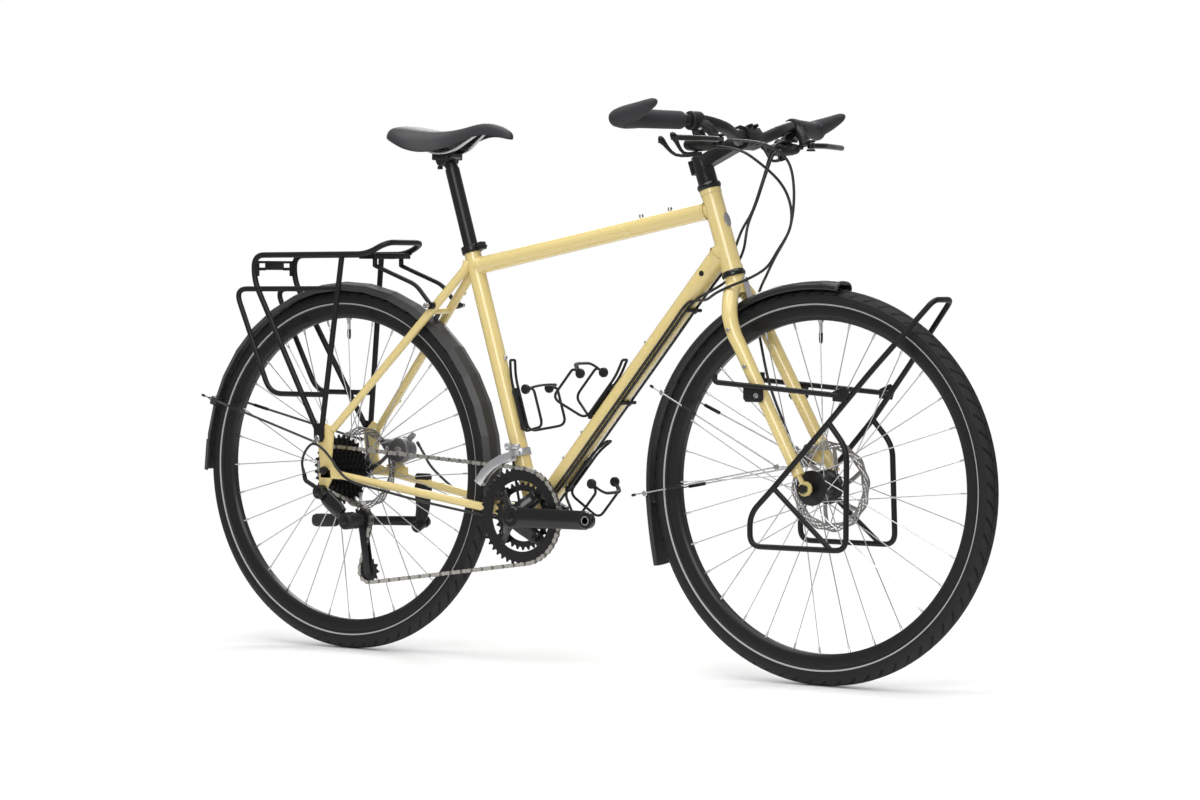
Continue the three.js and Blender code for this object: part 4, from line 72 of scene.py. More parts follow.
# Frame: round steel tubes welded into a diamond, with flat plate ends that hold the
# rear wheel and the rack. The whole is painted cream after the welding.
# Places are in millimetres ahead of the rear axle, to the rider's left and off the ground.
MM = 0.001
LEFT = Vector((0, 1, 0))
SIDES = (-1, 1)
tyre_low, tyre_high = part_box("rear_tyre")
rear_axle_x = (tyre_low.x + tyre_high.x) / 2


def at(ahead, spread, height):
    return Vector((rear_axle_x + ahead * MM, spread * MM, height * MM))


def by(ahead, spread, rise):
    return Vector((ahead * MM, spread * MM, rise * MM))


def aside(point, spread):
    return Vector((point.x, spread * MM, point.z))


wheel_radius = 349
wheelbase = 1070
fork_offset = 55
seat_angle = math.radians(73.3)
head_angle = math.radians(71.7)
seat_up = Vector((-math.cos(seat_angle), 0, math.sin(seat_angle)))
seat_out = Vector((math.sin(seat_angle), 0, math.cos(seat_angle)))
steer_up = Vector((-math.cos(head_angle), 0, math.sin(head_angle)))
steer_out = Vector((math.sin(head_angle), 0, math.cos(head_angle)))
steer_foot = at(wheelbase - fork_offset / math.sin(head_angle), 0, wheel_radius)
bracket_ahead, bracket_height = 449, 277
bottom_bracket = at(bracket_ahead, 0, bracket_height)


def on_steer(height):
    return steer_foot + steer_up * ((height - wheel_radius) * MM / math.sin(head_angle))


def on_seat(height):
    return bottom_bracket + seat_up * ((height * MM - bottom_bracket.z) / math.sin(seat_angle))


head_tube = {"radius": 18.5, "low": 729, "length": 153}
top_tube = {"radius": 15.9, "rear": 740, "front": 840.5}
down_tube = {"radius": 19, "front": 772}
seat_tube = {"radius": 15.9, "bore": 14.0, "length": 524}
shell = {"radius": 21, "half_width": 34}
dropout = {"spread": 70.5, "thickness": 6}
seat_stay_top, seat_stay_foot = 738, 428
stay_front, stay_bend, stay_rear = 432, 362, 36
stay_low, stay_high = bracket_height, 341
stay_inner, stay_middle = 21, 34
bridge_radius = 6
tube_sides = 40
stay_sides = 24
head_bottom = on_steer(head_tube["low"])
head_top = head_bottom + steer_up * head_tube["length"] * MM
seat_top = bottom_bracket + seat_up * seat_tube["length"] * MM
down_end = on_steer(down_tube["front"])
down_up = (down_end - bottom_bracket).normalized()
down_out = Vector((-down_up.z, 0, down_up.x))
top_rear = on_seat(top_tube["rear"])
top_front = on_steer(top_tube["front"])
top_up = (top_front - top_rear).normalized()
top_out = Vector((-top_up.z, 0, top_up.x))


def seat_stay(side, share):
    top = on_seat(seat_stay_top) - seat_out * 17 * MM
    return aside(top, side * 14).lerp(at(17, side * dropout["spread"], seat_stay_foot), share)


def seat_stay_at(side, height):
    top = seat_stay(side, 0).z / MM
    return seat_stay(side, (top - height) / (top - seat_stay_foot))


def chain_stay(side, ahead):
    height = stay_low + (stay_high - stay_low) * ((stay_front - ahead) / (stay_front - stay_rear))
    if ahead > stay_bend:
        spread = stay_inner + (stay_front - ahead) / (stay_front - stay_bend) * (stay_middle - stay_inner)
    else:
        outward = (stay_bend - ahead) / (stay_bend - stay_rear)
        spread = stay_middle + outward * (dropout["spread"] - stay_middle)
    return at(ahead, side * spread, height)


def verts_of(grown):
    return [item for item in grown["geom"] if isinstance(item, bmesh.types.BMVert)]


def edges_among(verts):
    kept = set(verts)
    touching = {edge for vert in verts for edge in vert.link_edges}
    return [edge for edge in touching if all(end in kept for end in edge.verts)]


# A tube or rod: a ring at the first point, extruded from one point to the next.
def sweep(shape, points, radii, sides=12, flat=1.0, capped=True):
    points = [Vector(point) for point in points]
    if isinstance(radii, (int, float)):
        radii = [radii] * len(points)
    last = len(points) - 1
    lines = [(points[min(i + 1, last)] - points[max(i - 1, 0)]).normalized() for i in range(last + 1)]
    turn = lines[0].to_track_quat("Z", "Y")
    places = []
    for i, (point, radius) in enumerate(zip(points, radii)):
        if i:
            turn = lines[i - 1].rotation_difference(lines[i]) @ turn
        size = Vector((radius * MM, radius * MM * flat, 1.0))
        places.append(Matrix.LocRotScale(point, turn, size))
    circle = {"segments": sides, "radius": 1.0, "matrix": places[0]}
    first = edges = edges_among(bmesh.ops.create_circle(shape, cap_ends=False, **circle)["verts"])
    for before, after in zip(places, places[1:]):
        verts = verts_of(bmesh.ops.extrude_edge_only(shape, edges=edges))
        edges = edges_among(verts)
        bmesh.ops.transform(shape, matrix=after @ before.inverted(), verts=verts)
    if capped:
        bmesh.ops.contextual_create(shape, geom=first)
        bmesh.ops.contextual_create(shape, geom=edges)


def flowing(points, steps=6):
    route = []
    for i in range(len(points) - 1):
        before = points[max(i - 1, 0)]
        start, end = points[i], points[i + 1]
        after = points[min(i + 2, len(points) - 1)]
        leave = start + (end - before) / 6
        meet = end - (after - start) / 6
        route += interpolate_bezier(start, leave, meet, end, steps + 1)[:-1]
    return route + [points[-1]]


def thickened(shape, faces, thickness):
    verts = verts_of(bmesh.ops.extrude_face_region(shape, geom=faces))
    bmesh.ops.translate(shape, vec=LEFT * thickness * MM, verts=verts)
    return verts


def softened(shape, edges, width, segments=2):
    bmesh.ops.bevel(shape, geom=edges, offset=width * MM, segments=segments, profile=0.5,
                    affect="EDGES", clamp_overlap=True, material=-1)


# A flat plate: its outline is extruded to the thickness and its rims are softened.
def plate(shape, outline, thickness, spread, bevel=0.6):
    verts = [shape.verts.new(at(x, spread - thickness / 2, z)) for x, z in outline]
    face = shape.faces.new(verts)
    far_side = thickened(shape, [face], thickness)
    softened(shape, list(set(edges_among(far_side) + list(face.edges))), bevel)


tubes = bmesh.new()
sweep(tubes, [head_bottom, head_top], head_tube["radius"], tube_sides, capped=False)
for end, way in ((head_bottom, -1), (head_top, 1)):
    band = end - steer_up * way * 9 * MM
    collar = [band, band + steer_up * way * MM, end, end]
    sweep(tubes, collar, [18.4, 19.6, 19.6, 15.4], tube_sides, capped=False)
sweep(tubes, [top_rear, top_front], top_tube["radius"], tube_sides)
sweep(tubes, [bottom_bracket, down_end], down_tube["radius"], tube_sides)
seat_line = [bottom_bracket, seat_top, seat_top, seat_top - seat_up * 20 * MM]
seat_radii = [seat_tube[part] for part in ("radius", "radius", "bore", "bore")]
sweep(tubes, seat_line, seat_radii, tube_sides, capped=False)
shell_end = LEFT * shell["half_width"] * MM
sweep(tubes, [bottom_bracket - shell_end, bottom_bracket + shell_end], shell["radius"], tube_sides)
dropout_outline = [(-13, 334), (15, 334), (36, 333), (51, 341), (36, 349), (18, 357), (13, 372), (19, 426),
                   (15, 435), (2, 440), (-20, 419), (-20, 404), (-14, 364)]
hanger_outline = [(-15, 349), (-18, 311), (-9, 302), (0, 311), (15, 334), (12, 352)]
brake_mount_outline = [(45, 336), (95, 336), (95, 352), (84, 358), (80, 376), (68, 376), (64, 358), (45, 356)]
for side in SIDES:
    joined = on_seat(752) - seat_out * 9 * MM + LEFT * side * 9 * MM
    stay = [joined] + [seat_stay(side, share) for share in (0, 0.25, 1)]
    sweep(tubes, stay, [8.5, 8.5, 8.2, 7], stay_sides)
    stay = [chain_stay(side, ahead) for ahead in (stay_front, 400, 372, 352, 200, stay_rear)]
    sweep(tubes, flowing(stay, 4), [9 - 1.5 * i / 20 for i in range(21)], stay_sides)
    plate(tubes, dropout_outline, dropout["thickness"], side * dropout["spread"], 1.2)
plate(tubes, hanger_outline, dropout["thickness"], -dropout["spread"], 1.2)
sweep(tubes, [seat_stay_at(-1, 656), seat_stay_at(1, 656)], bridge_radius, stay_sides)
sweep(tubes, [chain_stay(-1, 380), chain_stay(1, 380)], bridge_radius, stay_sides)
rack_strut_height = 667
for side in SIDES:
    foot = seat_stay_at(side, rack_strut_height)
    sweep(tubes, [foot, aside(foot, side * 34.7)], bridge_radius, stay_sides)
plate(tubes, brake_mount_outline, 6.5, 59.75, 1.0)


# The paint, and every other finish below, is one shader and what feeds it. A socket
# carries Python's operators, so that a pattern reads as a plain expression.
class Socket:
    def __init__(self, finish, output):
        self.finish = finish
        self.output = output

    def maths(self, operation, other=0.0, swapped=False):
        pair = (other, self) if swapped else (self, other)
        return self.finish.node("ShaderNodeMath", {"operation": operation}, {0: pair[0], 1: pair[1]})

    def __add__(self, other):
        return self.maths("ADD", other)

    def __radd__(self, other):
        return self.maths("ADD", other)

    def __sub__(self, other):
        return self.maths("SUBTRACT", other)

    def __rsub__(self, other):
        return self.maths("SUBTRACT", other, swapped=True)

    def __mul__(self, other):
        return self.maths("MULTIPLY", other)

    def __rmul__(self, other):
        return self.maths("MULTIPLY", other)

    def over(self, other):
        return self.maths("GREATER_THAN", other)

    def under(self, other):
        return self.maths("LESS_THAN", other)


class Shading:
    def __init__(self, owner, shader):
        owner.use_nodes = True
        self.tree = owner.node_tree
        self.shader = self.tree.nodes[shader]

    def set(self, name, value, node=None):
        socket = (node or self.shader).inputs[name]
        if isinstance(value, Socket):
            self.tree.links.new(value.output, socket)
        else:
            socket.default_value = value

    def node(self, kind, settings, inputs, output=0):
        node = self.tree.nodes.new(kind)
        for name, value in settings.items():
            setattr(node, name, value)
        for name, value in inputs.items():
            self.set(name, value, node)
        return Socket(self, node.outputs[output])


class Finish(Shading):
    def __init__(self, name, colour, roughness, metallic=0.0, coat=0.0):
        self.material = bpy.data.materials.new(name)
        super().__init__(self.material, "Principled BSDF")
        self.set("Base Color", (*colour, 1.0))
        self.set("Roughness", roughness)
        self.set("Metallic", metallic)
        self.set("Coat Weight", coat)
        self.set("Specular IOR Level", 0.5 if max(colour) > 0.1 else 0.3)

    def place(self, centre=(0, 0, 0)):
        coordinates = self.node("ShaderNodeTexCoord", {}, {}, "Object")
        shift = [-value for value in centre]
        return self.node("ShaderNodeMapping", {}, {"Vector": coordinates, "Location": shift})

    def noise(self, scale, detail=2.0):
        inputs = {"Vector": self.place(), "Scale": scale, "Detail": detail}
        return self.node("ShaderNodeTexNoise", {}, inputs, "Fac")

    def mixed(self, factor, low, high):
        low, high = (value if isinstance(value, Socket) else (*value, 1.0) for value in (low, high))
        return self.node("ShaderNodeMix", {"data_type": "RGBA"}, {0: factor, 6: low, 7: high}, 2)

    def bump(self, height, distance):
        inputs = {"Height": height, "Distance": distance, "Strength": 1.0}
        self.set("Normal", self.node("ShaderNodeBump", {}, inputs, "Normal"))


# A plain finish with a slow drift of its colour and a fine grain in its gloss and surface.
def grained(name, colour, roughness, metallic=0.0, coat=0.0, grain=900.0, depth=0.00004,
            vary=0.12, uneven=0.3):
    finish = Finish(name, colour, roughness, metallic, coat)
    drift_scale = 14.0
    darker = [value * (1 - vary) for value in colour]
    lighter = [min(1.0, value * (1 + vary)) for value in colour]
    finish.set("Base Color", finish.mixed(finish.noise(drift_scale), darker, lighter))
    fine = finish.noise(grain)
    finish.set("Roughness", roughness + (fine - 0.5) * (uneven * roughness))
    if depth:
        finish.bump(fine, depth)
    return finish


# A finished shape becomes a piece: it rides its body, takes its finish, and
# stands for the solid that it dresses.
def made(name, shape, body, finish, stands_for=(), sharp=35):
    bmesh.ops.recalc_face_normals(shape, faces=shape.faces)
    mesh = bpy.data.meshes.new(name)
    shape.to_mesh(mesh)
    shape.free()
    mesh.shade_smooth()
    mesh.set_sharp_from_angle(angle=math.radians(sharp))
    mesh.materials.append(finish.material)
    piece = bpy.data.objects.new(name, mesh)
    bpy.context.scene.collection.objects.link(piece)
    if body:
        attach(piece, body)
    if stands_for:
        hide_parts(*stands_for)
    return piece


cream_paint = grained("cream_paint", (0.745, 0.595, 0.245), 0.26, coat=0.7, grain=9.0, depth=0,
                      vary=0.03, uneven=0.15)
made("frame_tubes", tubes, "frame_assembly", cream_paint, ("frame",))

# Welds: the small fillets that show where two tubes meet, in the frame's paint.
# Each is a soft ring round the thinner tube's end.
welds = bmesh.new()
joints = (
    (top_rear, top_up, top_tube["radius"], 17.5), (top_front, -top_up, top_tube["radius"], 21.5),
    (down_end, -down_up, down_tube["radius"], 24.0), (bottom_bracket, down_up, down_tube["radius"], 23.5),
    (bottom_bracket, seat_up, seat_tube["radius"], 22.5),
)
for centre, direction, radius, reach in joints:
    start = centre + direction * reach * MM
    sweep(welds, [start - direction * 5 * MM, start, start + direction * 5 * MM],
          [radius + 2.6, radius + 0.9, radius + 0.02], tube_sides, capped=False)
made("frame_welds", welds, "frame_assembly", cream_paint, sharp=60)


# Bosses and their bolts: threaded bosses let into the tubes, each with a bare steel
# screw, for the bottle cages, the racks and a small bag behind the bars. An oval badge
# plate is fixed to the head tube, and a black plastic plug closes a hole beside it.
def screw(shape, foot, direction, radius, height, sides=20):
    direction = direction.normalized()
    foot = Vector(foot)
    stations = [(0, radius), (height * 0.75, radius), (height, radius * 0.82), (height, radius * 0.5),
                (height * 0.45, radius * 0.5)]
    sweep(shape, [foot + direction * (reach + i * 0.002) * MM for i, (reach, _) in enumerate(stations)],
          [size for _, size in stations], sides)


bolts = bmesh.new()
boss_rows = (
    (seat_up, seat_out, seat_tube["radius"], (166, 230, 300)),
    (down_up, down_out, down_tube["radius"], (125, 189, 228, 292, 409)),
    (down_up, -down_out, down_tube["radius"], (91, 155)),
)
for direction, outward, radius, places in boss_rows:
    for reach in places:
        foot = bottom_bracket + direction * reach * MM + outward * (radius - 1) * MM
        screw(bolts, foot, outward, 4.4, 4.6)
for reach in (96, 160):
    screw(bolts, top_front - top_up * reach * MM + top_out * 15 * MM, top_out, 4.2, 7)
for side in SIDES:
    screw(bolts, at(-13, side * 79, 411), LEFT * side, 6.5, 5.5)
    screw(bolts, seat_stay_at(side, rack_strut_height) + LEFT * side * 26 * MM, LEFT * side, 5, 8)
badge = head_top - steer_up * 62 * MM + steer_out * 17.6 * MM
sweep(bolts, [badge, badge + steer_out * 1.4 * MM, badge + steer_out * 1.9 * MM], [9, 9, 8], 28, flat=1.5)
bright_steel = grained("bright_steel", (0.52, 0.52, 0.53), 0.3, metallic=1.0, grain=3000.0, depth=0.00001)
made("frame_bolts", bolts, "frame_assembly", bright_steel)
plugs = bmesh.new()
screw(plugs, down_end - down_up * 62 * MM - LEFT * 18.4 * MM, -LEFT, 5, 1.6)
black_plastic = grained("black_moulded_plastic", (0.010, 0.010, 0.011), 0.46, grain=2600.0, depth=0.00003,
                        vary=0.15)
made("frame_plug", plugs, "frame_assembly", black_plastic)

# Spare spokes: two bright spokes carried on the left seat stay, a peg at each end.
# The pegs are brazed to the stay and painted with it.
spares = bmesh.new()
spare_out = LEFT * 11 * MM
for shift in (-2.2, 2.2):
    nudge = spare_out + by(shift, 0, 0)
    sweep(spares, [seat_stay_at(1, 470) + nudge, seat_stay_at(1, 700) + nudge], 1.0, 8)
silver_alloy = grained("silver_alloy", (0.62, 0.62, 0.64), 0.3, metallic=0.95, grain=2400.0, depth=0.00001)
made("spare_spokes", spares, "frame_assembly", silver_alloy)
pegs = bmesh.new()
for height in (480, 690):
    foot = seat_stay_at(1, height)
    sweep(pegs, [foot, foot + LEFT * 14 * MM], 4.6, 16)
made("spare_spoke_pegs", pegs, "frame_assembly", cream_paint)

# Headset: a turned alloy cup, black anodised, pressed into each end of the head tube.
# Each has a wide skirt over its ball race.
black_gloss = grained("black_gloss", (0.005, 0.005, 0.006), 0.22, coat=0.35, grain=40.0, depth=0, uneven=0.2)
cup_profile = ((0, 15.2), (0, 19.5), (1.5, 20.5), (5, 21.9), (8, 21.9), (9.2, 21.0), (11, 20.4), (11, 15.2))
for node, end, way in (("headset_lower_cup", head_bottom, -1), ("headset_upper_cup", head_top, 1)):
    foot = end + steer_up * way * 0.3 * MM
    cup = bmesh.new()
    sweep(cup, [foot + steer_up * way * (reach + i * 0.002) * MM for i, (reach, _) in enumerate(cup_profile)],
          [radius for _, radius in cup_profile], 48, capped=False)
    made(node + "_finished", cup, solids[node]["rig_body"], black_gloss, (node,))

# Fork: a steel unicrown with raked legs, welded and painted as the frame is.
# Its ends are flat ears, and each leg carries threaded bosses for the low rack.
front_axle = at(wheelbase, 0, wheel_radius)
crown_height = 695
rack_boss_height = 511
small_boss_heights = (625, 561)
knee_height = 628


def leg_at(side, height):
    knee = on_steer(knee_height)
    foot = at(wheelbase - 8, 0, wheel_radius + 23)
    share = (knee.z - height * MM) / (knee.z - foot.z)
    return aside(knee.lerp(foot, share), side * (55 + 5 * share))


legs = bmesh.new()
lower_cup_foot = head_bottom - steer_up * 11.6 * MM
crown_race = [on_steer(crown_height - 8), lower_cup_foot - steer_up * 2 * MM, lower_cup_foot]
sweep(legs, crown_race, [18, 18, 20.5], tube_sides)
sweep(legs, [lower_cup_foot, on_steer(929)], 14.3, 24)
for side in SIDES:
    shoulder = on_steer(655)
    top = on_steer(crown_height)
    arch = [aside(top, 0), aside(top, side * 20), aside(shoulder, side * 48)]
    route = flowing(arch + [leg_at(side, height) for height in (620, 590, 500, 420, 372)], 6)
    sweep(legs, route, [14.2 - 3.4 * max(0, i - 12) / (len(route) - 13) for i in range(len(route))], 28)
    ear = aside(front_axle, side * 53)
    sweep(legs, [ear - LEFT * 3 * MM, ear + LEFT * 3 * MM], 13, 32)
    sweep(legs, [ear, leg_at(side, 384)], [9, 9.5], 20, flat=0.5)
    middle = leg_at(side, rack_boss_height)
    sweep(legs, [middle, aside(middle, side * 72.5)], 6.5, 20)
    for height in small_boss_heights:
        small = leg_at(side, height)
        sweep(legs, [small, small + LEFT * side * 15 * MM], 4.5, 16)
plate(legs, [(1011, 389), (1045, 389), (1045, 413), (1011, 413)], 6, 53, 1.0)
made("fork_legs", legs, "steering_assembly", cream_paint, ("fork",))

fork_bolts = bmesh.new()
for side in SIDES:
    for height in small_boss_heights:
        screw(fork_bolts, leg_at(side, height) + LEFT * side * 14 * MM, LEFT * side, 3.8, 3.5)
    middle = leg_at(side, rack_boss_height)
    screw(fork_bolts, Vector((middle.x, side * 75 * MM, rack_boss_height * MM)), LEFT * side, 5, 5)
screw(fork_bolts, on_steer(crown_height + 12) + steer_out * 18 * MM, steer_out, 5, 6)
made("fork_bolts", fork_bolts, "steering_assembly", bright_steel)


# Stem: forged alloy, black anodised, clamped to the steerer over its spacers.
# A face plate with four bolts holds the bar, and a cap closes the top.
def dressed(node, finish, bevel=0.8, segments=2):
    shape = bmesh.new()
    shape.from_mesh(solids[node].data)
    bmesh.ops.remove_doubles(shape, verts=shape.verts, dist=0.000002)
    bmesh.ops.dissolve_limit(shape, angle_limit=math.radians(2), verts=shape.verts, edges=shape.edges)
    edges = [edge for edge in shape.edges if edge.is_manifold and edge.calc_face_angle() > math.radians(40)]
    softened(shape, edges, bevel, segments)
    return made(node + "_finished", shape, solids[node]["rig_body"], finish, (node,), 38)


black_anodised = grained("black_anodised", (0.008, 0.008, 0.009), 0.34, coat=0.1, grain=2200.0, depth=0.00001)
dressed("stem", black_anodised, 1.6, 3)
stem_top = on_steer(935)
bar_centre = stem_top + steer_out * 103 * MM + steer_up * -2.6 * MM
stem_bolts = bmesh.new()
for spread in (-9, 9):
    for rise in (-16, 16):
        foot = bar_centre + steer_up * rise * MM + steer_out * 10 * MM + LEFT * spread * MM
        screw(stem_bolts, foot, steer_out, 3.6, 13)
for rise in (6, 20):
    foot = stem_top - steer_out * 20 * MM - steer_up * rise * MM
    screw(stem_bolts, foot - LEFT * 4 * MM, -LEFT, 3.4, 4)
screw(stem_bolts, stem_top + steer_up * 12 * MM, steer_up, 6, 6)
made("stem_bolts", stem_bolts, "steering_assembly", black_gloss)

# Handlebar: one bent alloy tube, black anodised. It is bulged where the stem holds
# it, rises at both sides and sweeps back at the grips.
bar_half_width = 325
bar_rise = 24
clamp_radius = 15.9
bar_spreads = (0.15, 0.28, 0.43, 0.58, 0.8, 1.0)
bar_rises = (0.08, 0.62, 1, 1, 1, 1)
bar_bows = (5, 10, 1, -10)


def bar_point(i):
    back = bar_bows[i] if i < 4 else -10 - 40 * (bar_spreads[i] - 0.58) / 0.42
    return bar_centre + by(back, bar_spreads[i] * bar_half_width, bar_rises[i] * bar_rise)


def mirrored(point, side):
    return Vector((point.x, side * point.y, point.z))


def bar_at(side, spread):
    points = [bar_point(i) for i in range(6)]
    i = 0
    while i < 4 and points[i + 1].y < spread * MM:
        i += 1
    point = points[i].lerp(points[i + 1], (spread * MM - points[i].y) / (points[i + 1].y - points[i].y))
    return mirrored(point, side)


bar = bmesh.new()
half = [bar_centre, bar_centre + LEFT * 26 * MM] + [bar_point(i) for i in range(5)] + [bar_at(1, 303)]
for side in SIDES:
    route = flowing([mirrored(point, side) for point in half], 5)
    sizes = [clamp_radius if abs(point.y) < 0.0262
             else max(11.1, clamp_radius - (abs(point.y) - 0.026) / MM * 0.25) for point in route]
    sweep(bar, route, sizes, 32)
made("handlebar_tube", bar, "steering_assembly", black_anodised, ("handlebar",))

# Grips: soft rubber sleeves, each moulded in one with a palm wing and a stub bar end.
# They slide over the bar, and a ring clamps each at its outer end.
rubber = grained("grip_rubber", (0.032, 0.032, 0.035), 0.62, grain=1300.0, depth=0.00012, vary=0.18)


# Overlapping forms melt into one skin, as a casting or a moulding has.
def fused(shape, name, body, finish, stands_for, voxel, passes):
    rough = bpy.data.meshes.new(name + "_rough")
    shape.to_mesh(rough)
    shape.free()
    piece = bpy.data.objects.new(name + "_rough", rough)
    bpy.context.scene.collection.objects.link(piece)
    remesh = piece.modifiers.new("remesh", "REMESH")
    remesh.mode = "VOXEL"
    remesh.voxel_size = voxel * MM
    smooth = piece.modifiers.new("smooth", "SMOOTH")
    smooth.iterations = passes
    bpy.context.view_layer.update()
    shown = piece.evaluated_get(bpy.context.evaluated_depsgraph_get())
    settled = bpy.data.meshes.new_from_object(shown)
    bpy.data.objects.remove(piece)
    skin = bmesh.new()
    skin.from_mesh(settled)
    return made(name, skin, body, finish, stands_for, 80)


def moulded(node, finish, voxel, passes):
    shape = bmesh.new()
    shape.from_mesh(solids[node].data)
    return fused(shape, node + "_finished", solids[node]["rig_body"], finish, (node,), voxel, passes)


for side, node in ((-1, "grip_right"), (1, "grip_left")):
    grip = bmesh.new()
    inner = bar_at(side, 192)
    outer = bar_at(side, 314)
    line = (outer - inner).normalized()
    backward = line.cross(Vector((0, 0, 1))).normalized() * -side
    if backward.x > 0:
        backward = -backward
    sweep(grip, [inner, inner + line * 2 * MM, inner.lerp(outer, 0.5), outer], [14.5, 16, 16.6, 17], 28)
    palm = [inner.lerp(outer, share) + backward * reach * MM - by(0, 0, 2)
            for share, reach in ((0.3, 8), (0.5, 17), (0.75, 25), (0.98, 26))]
    sweep(grip, flowing(palm, 4), [9, 12, 14, 15.5, 17, 18, 19, 20, 20.5, 21, 20, 18, 13], 24, flat=0.72)
    heel = outer + backward * 22 * MM + by(-8, 0, -3)
    horn = [heel, heel + by(26, side * 2, 7), heel + by(58, side * 2, 17), heel + by(92, side, 31)]
    sizes = [10, 16, 18.6, 19.4, 19.6, 19, 18.2, 17, 15.6, 13.8, 11.6, 9, 4.5]
    sweep(grip, flowing(horn, 4), sizes, 24, flat=0.86)
    fused(grip, node + "_finished", "steering_assembly", rubber, (node,), 1.8, 8)

# Brake levers and shifters: each clamp and its pod are black plastic moulded in one,
# screwed round the bar. The brake lever and the two thumb paddles turn on pins in it.
clamp_spread, pivot_spread, pod_spread, paddle_spread = 163, 150, 135, 138
for side, node in ((-1, "controls_right"), (1, "controls_left")):
    pods = bmesh.new()
    clamp = bar_at(side, clamp_spread)
    along = (bar_at(side, 175) - clamp).normalized()
    band = [clamp + along * reach * MM for reach in (-13, -11, 11, 13)]
    sweep(pods, band, [15, 17, 17, 15], 28)
    pivot = clamp + by(45, 0, -34)
    pivot.y = side * pivot_spread * MM
    for lift in (-8, 8):
        plate_end = pivot + by(0, 0, lift)
        sweep(pods, [plate_end - by(0, 0, 2), plate_end + by(0, 0, 2)], 8.4, 20)
    knee = clamp.lerp(pivot, 0.55) + by(0, -side * 5, 4)
    stem_end = pivot + by(-11, -side * 4, 0)
    sweep(pods, flowing([clamp, knee, stem_end], 4), [12, 11.4, 10.8, 10.2, 9.6, 9.4, 9.2, 9, 8.6], 20)
    pod = clamp + by(-4, 0, -40)
    pod.y = side * pod_spread * MM
    nose = by(32, 0, 0)
    case = [pod + nose * share for share in (-1, -0.9, -0.5, 0, 0.5, 0.85, 1)]
    sweep(pods, case, [9, 12.5, 15, 15.6, 14.6, 11.6, 7], 24, flat=0.78)
    sweep(pods, [clamp, pod + by(0, 0, 6)], [9, 12], 20)
    fused(pods, node + "_finished", "steering_assembly", black_plastic, (node,), 1.4, 5)
    dial = bmesh.new()
    cover = pod + by(4, 0, 11.4)
    sweep(dial, [cover, cover + by(0, 0, 2), cover + by(0, 0, 2.6)], [11, 11, 9.6], 32)
    barrel = pod + by(28, 0, 3)
    ridge = [barrel + by(reach, side * -reach * 0.1, 0) for reach in (0, 4, 5, 12, 13)]
    sweep(dial, ridge, [3.6, 3.6, 4.8, 4.8, 3.2], 12)
    made(node + "_trim", dial, "steering_assembly", black_gloss)
for node in ("brake_lever_right", "brake_lever_left"):
    moulded(node, black_gloss, 1.2, 4)
for side, side_name in ((-1, "right"), (1, "left")):
    hub = bar_at(side, pod_spread) + by(-15, 0, -52)
    hub.y = side * paddle_spread * MM
    for level, drop, back, out, rise in (("upper", 1.5, 28, 32, 26), ("lower", 4.8, 55, 30, 24)):
        paddle = bmesh.new()
        middle = hub - by(0, 0, drop)
        bend = middle + Vector((-back * 0.62, side * out * 0.62, 0)) * MM
        end = middle + Vector((-back, side * out, rise)) * MM
        pad = end + Vector((-5, side * 2, 3)) * MM
        sweep(paddle, [middle + by(0, 0, 1.5), middle - by(0, 0, 1.5)], 7, 20)
        route = flowing([middle, bend, end, pad], 4)
        sweep(paddle, route, [4.2, 4, 3.8, 3.6, 3.6, 3.8, 4.4, 5.6, 7.4, 8.6, 8.8, 7.6, 4], 16, flat=0.8)
        name = "shift_lever_" + side_name + "_" + level
        made(name + "_finished", paddle, solids[name]["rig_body"], black_plastic, (name,), 60)
control_bolts = bmesh.new()
for side in SIDES:
    clamp = bar_at(side, clamp_spread)
    pivot = clamp + by(45, 0, -34)
    pivot.y = side * pivot_spread * MM
    screw(control_bolts, pivot + by(0, 0, 9), Vector((0, 0, 1)), 4.2, 3)
    screw(control_bolts, clamp + by(8, 0, -12), Vector((1, 0, -0.4)), 3, 8)
made("control_bolts", control_bolts, "steering_assembly", bright_steel)

# Cables: black plastic housings over wound steel, with a ferrule at each end.
# Three of them cross from the bars to the frame; the front brake's turns with the bars.
housing = grained("cable_housing", (0.012, 0.012, 0.013), 0.3, coat=0.3, grain=700.0, depth=0.00002)
housing_radius = 2.5
front_brake_route = (
    (949, -115, 956), (983, -100, 954), (1016, -85, 945), (1037, -55, 918), (1027, -20, 866), (1003, 5, 804),
    (956, 30, 752), (925, 52, 722), (900, 66, 690), (892, 70, 650), (900, 68, 611), (925, 62, 525),
    (962, 56, 450), (980, 52, 415),
)
rear_shift_route = (
    (926, -110, 945), (953, -98, 941), (979, -85, 928), (1019, -60, 887), (1031, -40, 847), (1019, -20, 804),
    (988, -14, 762), (969, -20, 734), (937, -28, 715), (905, -37, 702), (876, -38, 690), (848, -28, 678),
    (820, -21, 676), (797, -19.5, 667), (749, -19, 611), (555, -19, 383), (487, -19, 303), (474, -20, 269),
    (464, -20, 256), (449, -20, 251), (436, -20, 253), (420, -22, 257), (385, -28, 268), (352, -35, 275),
    (310, -46, 282), (221, -61, 298), (141, -69, 314), (70, -80, 331), (40, -83, 352), (24, -84, 372),
    (2, -88, 394), (-21, -88, 400), (-39, -88, 384), (-48, -86, 363), (-45, -84, 343),
)
